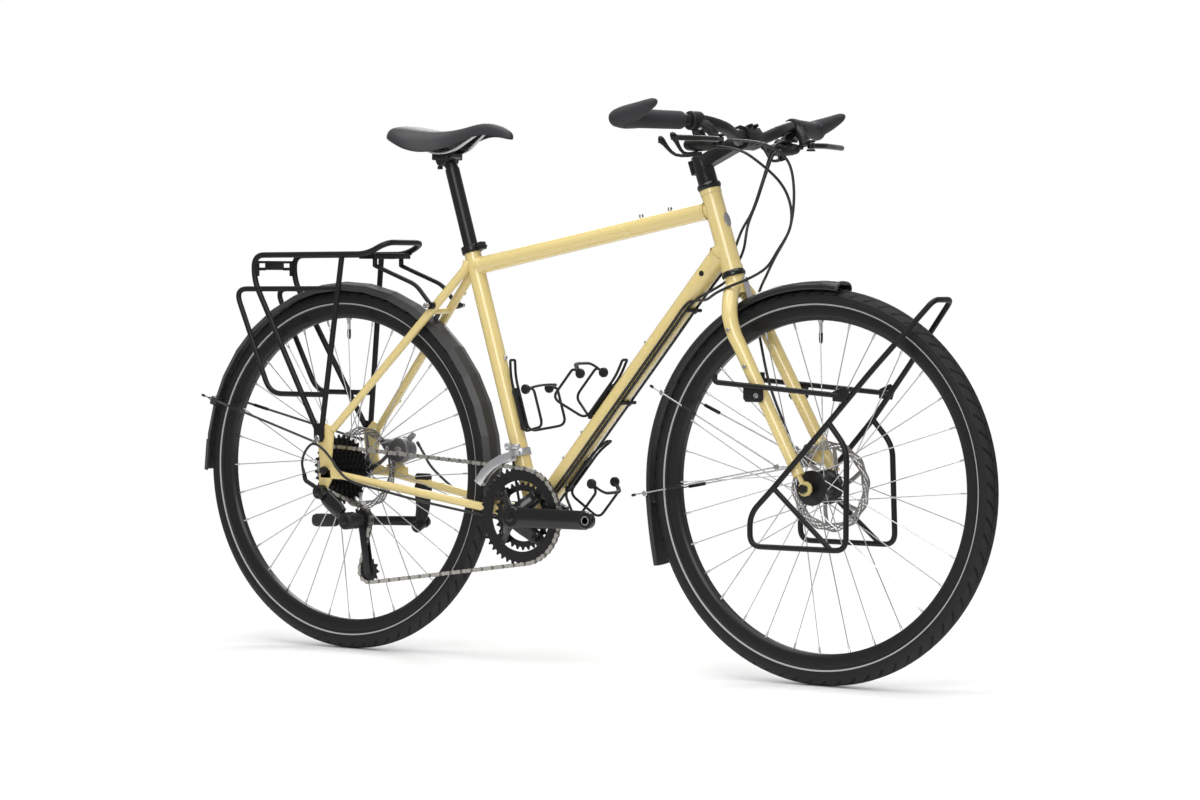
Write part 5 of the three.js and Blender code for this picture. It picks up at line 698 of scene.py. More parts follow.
rear_brake_route = (
    (942, 128, 963), (915, 122, 963), (898, 112, 945), (891, 97, 900), (883, 72, 839), (874, 50, 803),
    (867, 35, 767), (854, 27, 735), (828, 18, 698), (798, 15, 661), (754, 15, 608), (559, 15, 379),
    (489, 15, 297), (474, 14, 269), (464, 13, 256), (449, 13, 251), (436, 14, 253), (420, 20, 257),
    (385, 28, 268), (352, 36, 275), (284, 47, 285), (256, 53, 290), (216, 64, 308), (177, 61, 336),
    (153, 58, 358), (135, 58, 383), (122, 57, 402),
)
front_shift_route = (
    (919, 112, 946), (907, 103, 938), (902, 85, 902), (900, 60, 856), (893, 40, 811), (888, 33, 767),
    (872, 30, 735), (858, 22, 711), (842, 2, 695), (822, -10, 682), (798, -15, 660), (754, -15, 608),
    (559, -15, 379), (489, -15, 297), (474, -13, 269), (464, -12, 256), (449, -11, 251), (436, -8, 253),
    (421, -2, 265), (412, -2, 300), (403, -2, 345), (399, -2, 377),
)
crossing_start = at(835, 0, 690)
crossing_end = at(915, 0, 880)
for name, route in (("front_brake", front_brake_route), ("rear_shift", rear_shift_route),
                    ("rear_brake", rear_brake_route), ("front_shift", front_shift_route)):
    points = flowing([at(*point) for point in route], 6)
    outer = bmesh.new()
    sweep(outer, points, housing_radius, 14)
    for near, far in ((points[0], points[2]), (points[-1], points[-3])):
        line = (far - near).normalized()
        sweep(outer, [near, near + line * 9 * MM, near + line * 10 * MM], [3.1, 3.1, 2.6], 16)
    node = name + "_cable"
    body = "steering_assembly" if name == "front_brake" else None
    piece = made(name + "_housing", outer, body, housing, (node,), 50)
    if body is None:
        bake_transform(piece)

# Cable clips: two black moulded clips, screwed under the down tube.
# They hold the housings side by side.
clips = bmesh.new()
for reach in (298, 520):
    foot = bottom_bracket + down_up * reach * MM - down_out * 19.5 * MM
    across = LEFT * 22 * MM
    sweep(clips, [foot - across - down_out * 2 * MM, foot + across - down_out * 2 * MM], 3.4, 16)
    screw(clips, foot, -down_out, 4.5, 8)
made("cable_clips", clips, "frame_assembly", black_plastic)


# Tyres: black rubber moulded over a woven casing, with blocks on the tread and a pale
# reflective band on each wall. The pattern follows the angle and radius round the axle.
def polar(finish, centre):
    spot = {"Vector": finish.place(centre)}
    ahead, spread, height = (finish.node("ShaderNodeSeparateXYZ", {}, spot, i) for i in range(3))
    radius = (ahead * ahead + height * height).maths("SQRT")
    angle = height.maths("ARCTAN2", ahead)
    return angle, spread.maths("ABSOLUTE"), radius


def tyre_finish(name, centre):
    finish = Finish(name, (0.012, 0.012, 0.013), 0.7)
    angle, spread, radius = polar(finish, centre)
    band_low, band_high, tread_edge, shoulder_edge = 0.3198, 0.3224, 0.3385, 0.0074
    block_turns = 72 / math.tau
    band = radius.over(band_low) * radius.under(band_high)
    dust = finish.noise(60.0, 4.0)
    steps = (angle * block_turns + spread * 30).maths("FRACT")
    outer = (angle * block_turns - spread * 62 + 0.5).maths("FRACT")
    shoulder = spread.over(shoulder_edge)
    groove = steps.under(0.16) * (1 - shoulder) + outer.under(0.24) * shoulder
    channel = spread.over(0.0064) * spread.under(0.0078) + spread.under(0.0009)
    tread = radius.over(tread_edge)
    cut = (groove + channel).maths("MINIMUM", 1.0) * tread
    # The tread is painted lighter than the walls and its grooves are painted near-black: painted light on the
    # blocks and painted shade in the grooves, standing in for the tread's relief.
    blocks = finish.mixed(tread, (0.009, 0.009, 0.010), (0.020, 0.020, 0.022))
    painted_groove_shade = finish.mixed(cut, blocks, (0.003, 0.003, 0.003))
    finish.set("Base Color", finish.mixed(band, painted_groove_shade, (0.40, 0.40, 0.40)))
    finish.set("Roughness", 0.5 + tread * 0.2 + dust * 0.1)
    ribs = (radius * 900).maths("SINE") * 0.1
    finish.bump(1 - cut + ribs * (1 - tread), 0.002)
    return finish


def ring_round(shape, centre, profile, steps):
    verts = [shape.verts.new((centre.x, spread * MM, centre.z + radius * MM)) for radius, spread in profile]
    edges = [shape.edges.new((verts[i], verts[(i + 1) % len(verts)])) for i in range(len(verts))]
    bmesh.ops.spin(shape, geom=verts + edges, cent=centre, axis=LEFT, angle=math.tau, steps=steps,
                   use_merge=True)


rear_axle = at(0, 0, wheel_radius)
wheels = (("rear", rear_axle, "rear_wheel"), ("front", front_axle, "front_wheel"))
wheel_steps = 128
tyre_core = 330.0
tyre_section = 19
for end, centre, body in wheels:
    carcass = bmesh.new()
    profile = []
    for i in range(25):
        turn = math.radians(-138 + 276 * i / 24)
        profile.append((tyre_core + tyre_section * math.cos(turn), tyre_section * math.sin(turn)))
    ring_round(carcass, centre, profile + [(315, 8.0), (315, -8.0)], wheel_steps)
    tread_finish = tyre_finish(end + "_tyre", centre)
    made(end + "_tyre_rubber", carcass, body, tread_finish, (end + "_tyre",), 60)

# Rims: a deep hollow section of alloy, rolled to a hoop and black anodised.
# A hooked edge on each side holds the tyre's bead.
rim_half = ((293, 5), (297, 9.5), (303, 11.6), (315.6, 12), (315.8, 10.4), (309, 10.0), (306, 6))
rim_profile = [(radius, -spread) for radius, spread in rim_half] + list(reversed(rim_half))
for end, centre, body in wheels:
    hoop = bmesh.new()
    ring_round(hoop, centre, rim_profile, wheel_steps)
    made(end + "_rim_hoop", hoop, body, black_anodised, (end + "_rim",))

# Hubs and spokes: a black turned alloy shell with a flange at each side, and bright
# steel spokes, crossed three times, each drawn tight by its nipple in the rim.
# A plated valve with a black plastic cap stands in each rim.
# For each hub: its axle and body, the places of its right and left flanges, the radii of
# its flanges and barrel, the place of its disc, and how far its left end reaches.
hubs = {
    "rear": (rear_axle, "rear_wheel", 17, 30, 27, 15, 42, 47),
    "front": (front_axle, "front_wheel", 30, 24, 31, 22, 33, 38),
}
spoke_count = 32
spoke_reach = 292.6


def radial(turn):
    return Vector((math.cos(turn), 0, math.sin(turn)))


for end, (centre, body, right, left, flange, barrel, disc_spread, reach) in hubs.items():
    shell_shape = bmesh.new()
    profile = ((5.4, -right - 3), (flange - 2, -right - 3), (flange, -right - 2), (flange, -right + 2),
               (flange - 3, -right + 3), (barrel + 2, -right + 6), (barrel, -right + 10), (barrel, left - 10),
               (barrel + 2, left - 6), (flange - 3, left - 3), (flange, left - 2), (flange, left + 2),
               (flange - 2, left + 3), (19, left + 3.4), (19, disc_spread - 1.3), (10.6, disc_spread - 1.3),
               (10.6, reach), (5.4, reach))
    ring_round(shell_shape, centre, profile, 48)
    made(end + "_hub_shell", shell_shape, body, black_anodised)
    wires = bmesh.new()
    nipples = bmesh.new()
    for i in range(spoke_count):
        on_left = i % 2
        leading = (i // 2) % 2
        turn = math.tau * i / spoke_count
        hub_turn = turn + math.radians(58) * (1 if leading else -1)
        step = (1.6 if leading else -1.6) * (1 if on_left else -1)
        spread = (left if on_left else -right) + step
        start = centre + radial(hub_turn) * (flange - 3.3) * MM + LEFT * spread * MM
        tip = 3.0 if on_left else -3.0
        end_point = centre + radial(turn) * spoke_reach * MM + LEFT * tip * MM
        sweep(wires, [start, end_point], 1.0, 8)
        line = (end_point - start).normalized()
        sweep(nipples, [end_point - line * 12 * MM, end_point - line * 11 * MM, end_point + line * 1.5 * MM],
              [1.5, 2.0, 2.1], 10)
        head = start - LEFT * (2.2 if step > 0 else -2.2) * MM
        sweep(nipples, [start, head], 2.2, 10)
    made(end + "_spokes", wires, body, bright_steel, (end + "_hub",))
    made(end + "_nipples", nipples, body, silver_alloy)
    valve = bmesh.new()
    sweep(valve, [centre + by(0, 0, 292), centre + by(0, 0, 270)], [3.2, 3.0], 16)
    screw(valve, centre + by(0, 0, 293.5), Vector((0, 0, -1)), 5, 5)
    made(end + "_valve", valve, body, silver_alloy)
    cap = bmesh.new()
    sweep(cap, [centre + by(0, 0, z) for z in (271, 258, 254, 252)], [3.6, 3.6, 3.0, 1.4], 16)
    made(end + "_valve_cap", cap, body, black_plastic)

# Brake discs: a ring cut from steel sheet, with a waved edge and slanted slots.
# Six slim arms carry it to a black boss, which six screws hold on the hub.
rotor_steel = grained("rotor_steel", (0.36, 0.35, 0.34), 0.4, metallic=1.0, grain=2600.0, depth=0.00002)
disc_stations = (65.5, 67.5, 69.5, 71.5, 73.5, 75.5, 77.5, 79.6)
disc_thickness = 1.9
disc_steps = 144
waves = 12
slot_pitch = disc_steps // waves
disc_arms = 6
for end, (centre, body, *_, disc_spread, _) in hubs.items():
    rotor = bmesh.new()
    middle = aside(centre, disc_spread)
    verts = [rotor.verts.new(middle + by(0, 0, radius)) for radius in disc_stations]
    edges = [rotor.edges.new(pair) for pair in zip(verts, verts[1:])]
    bmesh.ops.spin(rotor, geom=verts + edges, cent=middle, axis=LEFT, angle=math.tau, steps=disc_steps,
                   use_merge=True)
    bmesh.ops.remove_doubles(rotor, verts=rotor.verts, dist=0.00001)
    for vert in rotor.verts:
        arm = vert.co - middle
        turn = math.atan2(arm.z, arm.x)
        radius = arm.length / MM
        wave = 1.7 * math.sin(waves * turn) * (1 if radius > 78 else -0.6 if radius < 66.5 else 0)
        vert.co = middle + arm * (1 + wave / radius)
    holes = []
    for face in rotor.faces:
        arm = face.calc_center_median() - middle
        radius = arm.length / MM
        ring = int((radius - disc_stations[0]) / 2)
        turn = (math.atan2(arm.z, arm.x) / math.tau * disc_steps) % disc_steps
        if 1 <= ring <= 5 and int(turn + 2 * ring) % slot_pitch in (2, 3):
            holes.append(face)
        if 2 <= ring <= 4 and int(turn + 2 * ring + 6) % slot_pitch in (2, 3):
            holes.append(face)
    bmesh.ops.delete(rotor, geom=list(set(holes)), context="FACES")
    bmesh.ops.solidify(rotor, geom=rotor.faces[:], thickness=disc_thickness * MM)
    for i in range(disc_arms):
        turn = math.tau * i / disc_arms
        slim_arm = [middle + radial(turn + lean) * reach * MM
                    for lean, reach in ((0, 21), (0.28, 45), (0.42, 67.5))]
        sweep(rotor, flowing(slim_arm, 5), 0.95, 8, flat=4.4)
    sweep(rotor, [middle - LEFT * 0.9 * MM, middle + LEFT * 0.9 * MM], 24, 48)
    made(end + "_rotor", rotor, body, rotor_steel, (end + "_brake_disc",), 30)
    hub_cap = bmesh.new()
    sweep(hub_cap, [middle + LEFT * reach * MM for reach in (-1.5, 2.4, 3)], [15, 15, 13.5], 32)
    for i in range(disc_arms):
        turn = math.tau * i / disc_arms
        foot = middle + radial(turn) * 20 * MM + LEFT * 0.8 * MM
        screw(hub_cap, foot, LEFT, 3.6, 3)
    made(end + "_rotor_bolts", hub_cap, body, black_anodised)
for node in ("rear_axle", "front_axle"):
    dressed(node, black_anodised, 0.6)

# Mudguards: rolled black plastic blades, each with a soft rubber flap fixed over its tail,
# hung from a bracket above the tyre and from wire stays. The front one is dressed here,
# and the rear one shows its own solid.
guard_plastic = grained("mudguard_plastic", (0.014, 0.014, 0.015), 0.3, coat=0.25, grain=300.0, depth=0.00002,
                        vary=0.1)
guard_edge_radius = 347


def wheel_point(centre, degrees, radius, spread=0.0):
    turn = math.radians(degrees)
    return centre + Vector((radius * math.cos(turn) * MM, spread * MM, radius * math.sin(turn) * MM))


def blade(shape, centre, start, end, half_width, rise, flare=0.0):
    steps = 72
    verts = []
    for i in range(17):
        turn = math.radians(-90 + 180 * i / 16)
        spread = half_width * math.sin(turn)
        radius = guard_edge_radius + rise * abs(math.cos(turn)) ** 0.8
        verts.append(shape.verts.new(wheel_point(centre, start, radius, spread)))
    edges = [shape.edges.new(pair) for pair in zip(verts, verts[1:])]
    bmesh.ops.spin(shape, geom=verts + edges, cent=centre, axis=-LEFT, angle=math.radians(end - start),
                   steps=steps)
    for vert in shape.verts:
        arm = vert.co - centre
        turn = math.degrees(math.atan2(arm.z, arm.x)) % 360
        share = max(0.0, min(1.0, ((turn - start + 180) % 360 - 180) / (end - start)))
        vert.co += Vector((arm.x, 0, arm.z)).normalized() * flare * share ** 2 * MM


def walled(piece, thickness):
    wall = piece.modifiers.new("wall", "SOLIDIFY")
    wall.thickness = thickness * MM
    wall.offset = 0


def guard_piece(name, centre, body, start, end, flap_start, flap_end, flare, node):
    cover = bmesh.new()
    blade(cover, centre, start, end, 23.6, 16.6)
    walled(made(name + "_blade", cover, body, guard_plastic, (node,), 60), 1.5)
    flap = bmesh.new()
    blade(flap, centre, flap_start, flap_end, 25.0, 17.6, flare)
    walled(made(name + "_flap", flap, body, rubber, sharp=60), 2.2)


guard_piece("front_guard", front_axle, "steering_assembly", 82, 187, 184, 204, 14, "front_mudguard")

# Mudguard stays: bright steel wire with a black plastic sleeve near each tip.
# They run from the fork's and the frame's ends to a clip on the blade's edge.
stays = {
    "front": (front_axle, "steering_assembly", (153, 183.5), (-53, 60, 37)),
    "rear": (rear_axle, "frame_assembly", (158.5,), (-29, 69, 54)),
}
for end, (centre, body, angles, (back, spread, rise)) in stays.items():
    rods = bmesh.new()
    knuckles = bmesh.new()
    for side in SIDES:
        foot = centre + by(back, side * spread, rise)
        for angle in angles:
            tip = wheel_point(centre, angle, 364, side * 30)
            line = (tip - foot).normalized()
            sweep(rods, [foot, tip + line * 17 * MM], 1.5, 12)
            clip = wheel_point(centre, angle, 356, side * 24)
            sweep(rods, [clip, clip + LEFT * side * 5 * MM, clip + LEFT * side * 6 * MM], [5.5, 5.5, 4.2], 24)
            sweep(rods, [clip, clip + LEFT * side * 9 * MM], 3.2, 6)
            sweep(knuckles, [tip + line * reach * MM for reach in (12, 13, 20, 21)], [1.6, 2.6, 2.6, 1.6], 12)
            sleeve = [tip - line * reach * MM for reach in (98, 96, 64, 62)]
            sweep(knuckles, sleeve, [1.8, 3.2, 3.2, 1.8], 16)
        screw(rods, foot, LEFT * side, 5, 6)
    made(end + "_guard_stays", rods, body, bright_steel)
    made(end + "_guard_sleeves", knuckles, body, black_plastic)

# Front guard bracket: a bent alloy strap bolted to the crown, and the stays' lower
# ends, which two short rods join to the fork.
strap = bmesh.new()
for side in SIDES:
    foot = front_axle + by(-53, side * 60, 37)
    sweep(strap, [foot, foot + by(40, 0, 0)], 3.0, 12)
bracket = [on_steer(height) + steer_out * reach * MM
           for height, reach in ((712, 20.5), (690, 20.5), (674, 19.5))]
sweep(strap, bracket, 9, 8, flat=0.14)
made("front_guard_bracket", strap, "steering_assembly", silver_alloy)


# Rear rack: bent alloy rod, welded and powder-coated black, with a plate across the
# front of its deck and a slotted plate for a lamp at the tail. Its legs bolt to the
# dropouts, and two struts reach forward to the seat stays.
black_powder = grained("black_powder_coat", (0.007, 0.007, 0.0075), 0.42, grain=1600.0, depth=0.00003,
                      vary=0.2)
deck_height = 765
leg_top, leg_foot = 715, 411


def rounded(points, bend, steps=6):
    route = [points[0]]
    for before, corner, after in zip(points, points[1:], points[2:]):
        back = before - corner
        ahead = after - corner
        reach = min(bend * MM, back.length * 0.48, ahead.length * 0.48)
        start = corner + back.normalized() * reach
        end = corner + ahead.normalized() * reach
        for share in (k / steps for k in range(steps + 1)):
            route.append(start.lerp(corner, share).lerp(corner.lerp(end, share), share))
    return route + [points[-1]]


def rack_spread(height):
    share = max(0.0, min(1.0, (leg_top - height) / (leg_top - leg_foot)))
    return 60 + 15 * share


def rack_point(side, x, z):
    return at(x, side * rack_spread(z), z)


rack = bmesh.new()
for side in SIDES:
    loop = [at(140, 0, 787), at(140, side * 56, 787), at(95, side * 60, deck_height),
            rack_point(side, -190, deck_height), rack_point(side, -190, leg_top), rack_point(side, -21, 429)]
    sweep(rack, rounded(loop, 30, 8), 5.6, 18)
    sweep(rack, [rack_point(side, 33, deck_height), rack_point(side, -8, 429)], 5.4, 18)
    lower = [rack_point(side, 27, 699), rack_point(side, -239, 699), rack_point(side, -142, 495),
             rack_point(side, -3, 495)]
    sweep(rack, rounded(lower, 30, 8), 5.2, 18)
    plate(rack, [(-25, 411), (-20, 404), (-6, 404), (-1, 411), (-1, 440), (-25, 440)], 5, side * 76.4, 1.2)
    foot = aside(seat_stay_at(side, rack_strut_height), side * 40)
    sweep(rack, rounded([at(98, side * 40, 743), at(198, side * 40, 706), foot], 14), 4.2, 14)
    sweep(rack, [at(98, side * 40, 741), at(98, side * 40, 764)], 4.6, 14)
    sweep(rack, [foot - LEFT * side * 5 * MM, foot + LEFT * side * 4.5 * MM], 7, 20)
for ahead in (0, -100):
    sweep(rack, [at(ahead, -60, deck_height), at(ahead, 60, deck_height)], 4, 16)
made("rear_rack_rods", rack, "frame_assembly", black_powder, ("rear_rack",))
rack_plates = bmesh.new()
slabs = [(90, 0, deck_height, 40, 118, 3), (71.5, 0, 760.5, 3, 108, 9), (108.5, 0, 760.5, 3, 108, 9),
         (-190, 0, 745, 3, 54, 18)]
for side in SIDES:
    slabs += [(-190, side * 53, 739, 3, 14, 30), (-190, side * 36.5, 751.5, 3, 19.4, 5),
              (-190, side * 36.5, 738, 3, 19.4, 6)]
for ahead, spread, height, length, width, rise in slabs:
    size = Vector((length, width, rise)) * MM
    place = Matrix.LocRotScale(at(ahead, spread, height), None, size)
    bmesh.ops.create_cube(rack_plates, size=1.0, matrix=place)
softened(rack_plates, rack_plates.edges[:], 0.6)
made("rear_rack_plates", rack_plates, "frame_assembly", black_powder)


# Front low rack: two side frames of bent alloy rod, powder-coated black, each with a
# rail and drilled tabs that bolt to the fork. A hoop over the tyre joins them.
def low(side, ahead, spread, height):
    return at(wheelbase + ahead, side * spread, height)


meet_rise, rail_rise, knee_rise = 466.5, 514, 559
low_rack = bmesh.new()
for side in SIDES:
    hoop = low(side, 243, 30, 678)
    meet = low(side, 61, 75, meet_rise)
    top_back = low(side, -48, 80, 350)
    hoop_knee = low(side, 140, 60, knee_rise)
    outline = [aside(hoop, 0), hoop, hoop_knee, meet, top_back, low(side, -94, 84, 303),
               low(side, -94, 84, 247), low(side, 101, 84, 247), low(side, 99, 78, 422.5), meet]
    sweep(low_rack, rounded(outline, 22, 7), 5.0, 18)
    sweep(low_rack, [top_back, low(side, 69, 84, 249)], 4.6, 16)
    rail_back = low(side, -171, 78, 533)
    rail_front = low(side, 80, 78, rail_rise)
    slant = meet.lerp(hoop_knee, (rail_rise - meet_rise) / (knee_rise - meet_rise))
    sweep(low_rack, rounded([rail_back + by(0, 0, 14), rail_back, rail_front, slant], 8), 4.8, 16)
    tab = [(-113, 505), (-108, 499), (-76, 499), (-72, 505), (-72, 528), (-113, 529)]
    plate(low_rack, [(wheelbase + x, z) for x, z in tab], 3, side * 75.4, 0.8)
    x, z = (slant.x - rear_axle.x) / MM - 30, slant.z / MM
    ear = [(x, z - 10), (x + 26, z - 12), (x + 34, z + 10), (x + 22, z + 16), (x, z + 6)]
    plate(low_rack, ear, 3, side * 79, 0.8)
made("front_rack_rods", low_rack, "steering_assembly", black_powder, ("front_rack",))

# Bottle cages: black wire, bent and welded, with a moulded strap that two knobs hold.
# A plastic plate under the wire takes the two screws of the bosses.
cages = (
    ("seat_tube", seat_up, seat_out, seat_tube["radius"], 154),
    ("down_tube", down_up, down_out, down_tube["radius"], 216),
    ("under_tube", down_up, -down_out, down_tube["radius"], 79),
)
for name, direction, outward, radius, start in cages:
    def cage_place(u, v, w):
        return bottom_bracket + direction * (start + u) * MM + outward * (radius + v) * MM + LEFT * w * MM

    wire = bmesh.new()
    moulding = bmesh.new()
    for side in SIDES:
        w = side * 7.5
        wide = side * 37
        route = [cage_place(137, 16, 0), cage_place(137, 16, w), cage_place(105, 8, w), cage_place(0, 8, w),
                 cage_place(-6, 74, wide), cage_place(67, 74, wide), cage_place(70, 56, wide)]
        sweep(wire, rounded(route, 16, 7), 2.5, 14)
        hub = cage_place(70, 56, side * 33)
        knob = [hub + LEFT * side * reach * MM for reach in (0, 2, 6.5, 8)]
        sweep(moulding, knob, [8.2, 9.2, 9.2, 7.6], 28)
    strap_route = [cage_place(70, v, w) for v, w in ((56, -37), (83, -26), (83, 26), (56, 37))]
    sweep(moulding, rounded(strap_route, 24, 8), 4.4, 12, flat=0.55)
    for reach in (12, 76):
        foot = cage_place(reach, 3.5, 0)
        sweep(moulding, [foot, foot + outward * 5.2 * MM], 9, 24)
    sweep(moulding, [cage_place(4, 4.8, 0), cage_place(80, 4.8, 0)], 8, 10, flat=0.34)
    made("cage_wire_" + name, wire, "frame_assembly", black_powder, ("bottle_cage_" + name,))
    made("cage_strap_" + name, moulding, "frame_assembly", black_plastic)

# Bottom bracket, left crank and chainrings: forged and cut alloy, black anodised.
# The bracket is threaded into its shell, and the rings bolt to the right crank's spider.
dressed("bottom_bracket", black_anodised, 0.6)
dressed("crank_left", black_gloss, 3.2, 4)
pitch = 12.7
large_ring, small_ring = 44, 30
ring_spread, small_ring_spread = 47.5, 40.5


def pitch_radius(teeth):
    return pitch / (2 * math.sin(math.pi / teeth))


def cog(shape, centre, spread, teeth, thickness, inner):
    radius = pitch_radius(teeth)
    rims = []
    for i in range(teeth):
        for share, rise in ((0, -3.4), (0.2, -2.4), (0.4, 3.0), (0.6, 3.0), (0.8, -2.4)):
            rims.append((math.tau * (i + share) / teeth, radius + rise))
    foot = centre + LEFT * (spread - thickness / 2) * MM
    loops = [[shape.verts.new(foot + radial(turn) * MM * reach) for turn, reach in rims],
             [shape.verts.new(foot + radial(turn) * MM * inner) for turn, _ in rims]]
    faces = []
    for i in range(len(rims)):
        k = (i + 1) % len(rims)
        faces.append(shape.faces.new((loops[0][i], loops[0][k], loops[1][k], loops[1][i])))
    thickened(shape, faces, thickness)


rings = bmesh.new()
cog(rings, bottom_bracket, -ring_spread, large_ring, 2.1, 66)
cog(rings, bottom_bracket, -small_ring_spread, small_ring, 2.1, 47)
lug = bottom_bracket - LEFT * ring_spread * MM
spider_turns = [math.pi / 4 + math.pi / 2 * i for i in range(4)]
for turn in spider_turns:
    out = radial(turn)
    sweep(rings, [lug + out * reach * MM for reach in (46, 60, 69)], [1.4, 1.5, 1.6], 8, flat=8)
    sweep(rings, [lug + out * 52 * MM + LEFT * 9 * MM, lug + out * 52 * MM - LEFT * 3 * MM], 6.5, 20)
    for step in (-0.3, 0.3):
        pin = radial(turn + step)
        sweep(rings, [lug + pin * 76 * MM - LEFT * 1.2 * MM, lug + pin * 76 * MM - LEFT * 1.8 * MM], 3.2, 14)
made("chainring_teeth", rings, "crankset", black_anodised, ("chainrings",), 30)

# Right crank: a forged alloy arm, gloss black, that spreads into four spider legs
# behind its boss. Each crank's pedal hole is threaded and left bare.
crank_length = 170
arm = bmesh.new()
root = bottom_bracket - LEFT * 74.5 * MM
tip = root + by(crank_length, 0, 0)
sweep(arm, flowing([root, root.lerp(tip, 0.3), root.lerp(tip, 0.65), tip], 5),
      [6.6 - 0.03 * k for k in range(16)], 24, flat=2.9)
sweep(arm, [root + LEFT * 6.4 * MM, root - LEFT * 6.4 * MM], 19, 40)
sweep(arm, [tip + LEFT * 6.4 * MM, tip - LEFT * 6.4 * MM], 15.6, 40)
hub = root + LEFT * 3 * MM
for turn in spider_turns:
    out = radial(turn)
    leg = [hub + out * reach * MM + LEFT * inward * MM
           for reach, inward in ((8, 0), (26, 6), (44, 17), (56, 20.5))]
    sweep(arm, flowing(leg, 4), [6.6 - 0.12 * k for k in range(13)], 20, flat=2.5)
sweep(arm, [root, root + LEFT * 30 * MM], 15, 32)
fused(arm, "crank_right_finished", "crankset", black_gloss, ("crank_right",), 1.3, 5)
crank_bolts = bmesh.new()
for side in SIDES:
    screw(crank_bolts, bottom_bracket + LEFT * side * 80.2 * MM, LEFT * side, 9, 2.4)
for turn in spider_turns:
    screw(crank_bolts, bottom_bracket + radial(turn) * 53 * MM - LEFT * 56 * MM, -LEFT, 5, 4)
made("crank_bolts", crank_bolts, "crankset", black_gloss)
pedal_eyes = bmesh.new()
for side in SIDES:
    eye = bottom_bracket + by(-side * crank_length, side * 81, 0)
    sweep(pedal_eyes, [eye - LEFT * side * 4 * MM, eye + LEFT * side * 0.5 * MM, eye + LEFT * side * 0.5 * MM,
                       eye - LEFT * side * 6 * MM], [8.4, 8.4, 6.4, 6.2], 32)
made("pedal_eyes", pedal_eyes, "crankset", bright_steel)

# Cassette: nine sprockets of blackened steel, the largest inboard, riveted to a
# spider. A lockring holds them on the splines of the hub.
stack = bmesh.new()
for i, teeth in enumerate((32, 28, 25, 22, 19, 17, 15, 13, 11)):
    cog(stack, rear_axle, -25 - 4.35 * i, teeth, 1.8, 14 if i else 40)
web_arms = 6
for i in range(web_arms):
    out = radial(math.tau * i / web_arms)
    web = [rear_axle + out * reach * MM - LEFT * 25 * MM for reach in (13, 44)]
    sweep(stack, web, 1, 8, flat=5)
sweep(stack, [rear_axle - LEFT * 23 * MM, rear_axle - LEFT * 61 * MM], 16.5, 40)
made("cassette_sprockets", stack, "sprockets", black_anodised, ("cassette",), 30)

# Chain: nickel-plated links, the outer and inner plates in turn, each on its pins.
# It runs from the large ring over the driven cog and the two pulleys.
driven_cog, pulley_teeth = 22, 11
cog_spread = 38.05
guide_x, guide_z = 62, 255
chain_wheels = (
    (bracket_ahead, bracket_height, -pitch_radius(large_ring)), (0, wheel_radius, -pitch_radius(driven_cog)),
    (guide_x, guide_z, pitch_radius(pulley_teeth)), (78, 157, -pitch_radius(pulley_teeth)),
)
ends = []
for (ax, az, ar), (bx, bz, br) in zip(chain_wheels, chain_wheels[1:] + chain_wheels[:1]):
    length = math.hypot(bx - ax, bz - az)
    heading = math.atan2(bz - az, bx - ax) + math.asin((br - ar) / length)
    normal = (math.sin(heading), -math.cos(heading))
    ends.append(((ax - normal[0] * ar, az - normal[1] * ar), (bx - normal[0] * br, bz - normal[1] * br)))
line_points = []
for k, (leave, meet) in enumerate(ends):
    line_points += [leave, meet]
    cx, cz, radius = chain_wheels[(k + 1) % 4]
    following = ends[(k + 1) % 4][0]
    start = math.atan2(meet[1] - cz, meet[0] - cx)
    stop = math.atan2(following[1] - cz, following[0] - cx)
    span = (stop - start) % math.tau if radius < 0 else -((start - stop) % math.tau)
    count = max(4, int(abs(span) * abs(radius) / 3))
    for j in range(1, count):
        turn = start + span * j / count
        line_points.append((cx + abs(radius) * math.cos(turn), cz + abs(radius) * math.sin(turn)))
lengths = [math.dist(a, b) for a, b in zip(line_points, line_points[1:] + line_points[:1])]
links = 2 * round(sum(lengths) / pitch / 2)
step = sum(lengths) / links


def along_chain(distance):
    k = 0
    while distance > lengths[k]:
        distance -= lengths[k]
        k = (k + 1) % len(lengths)
    (ax, az), (bx, bz) = line_points[k], line_points[(k + 1) % len(line_points)]
    share = distance / lengths[k] if lengths[k] else 0
    x, z = ax + (bx - ax) * share, az + (bz - az) * share
    upper = z > (wheel_radius + bracket_height) / 2
    rear_x, front_x = (ends[0][1][0], ends[0][0][0]) if upper else (ends[3][0][0], ends[3][1][0])
    lean = max(0.0, min(1.0, (x - rear_x) / (front_x - rear_x)))
    return at(x, -(cog_spread + (ring_spread - cog_spread) * lean), z)


plate_round = 4.0
plate_waist = 2.5
bright_links = bmesh.new()
dark_links = bmesh.new()
for i in range(links):
    a = along_chain(i * step)
    b = along_chain((i + 1) * step % sum(lengths))
    line = b - a
    along = line.normalized()
    turn = Matrix((along, LEFT, along.cross(LEFT))).transposed().to_4x4()
    place = Matrix.Translation((a + b) / 2) @ turn
    outer = i % 2 == 0
    shape = bright_links if outer else dark_links
    half = line.length / MM / 2
    outline = []
    for end in (1, -1):
        for k in range(7):
            angle = math.radians(-105 + 35 * k)
            x = half + plate_round * math.cos(angle)
            outline.append((end * x, end * plate_round * math.sin(angle)))
        outline.append((0, end * plate_waist))
    for side in SIDES:
        spread = (2.7 if outer else 1.7) * side
        verts = [shape.verts.new(place @ by(x, spread, z)) for x, z in outline]
        thickened(shape, [shape.faces.new(verts)], 0.9 * side)
    sweep(dark_links, [a - LEFT * 2.4 * MM, a + LEFT * 2.4 * MM], 3.6, 12)
    sweep(bright_links, [a - LEFT * 4.0 * MM, a + LEFT * 4.0 * MM], 1.7, 8)
nickel = grained("chain_nickel", (0.52, 0.50, 0.46), 0.3, metallic=1.0, grain=2000.0, depth=0.00001)
oiled = grained("chain_oiled_steel", (0.20, 0.19, 0.17), 0.35, metallic=0.9, grain=2000.0, depth=0.00001)
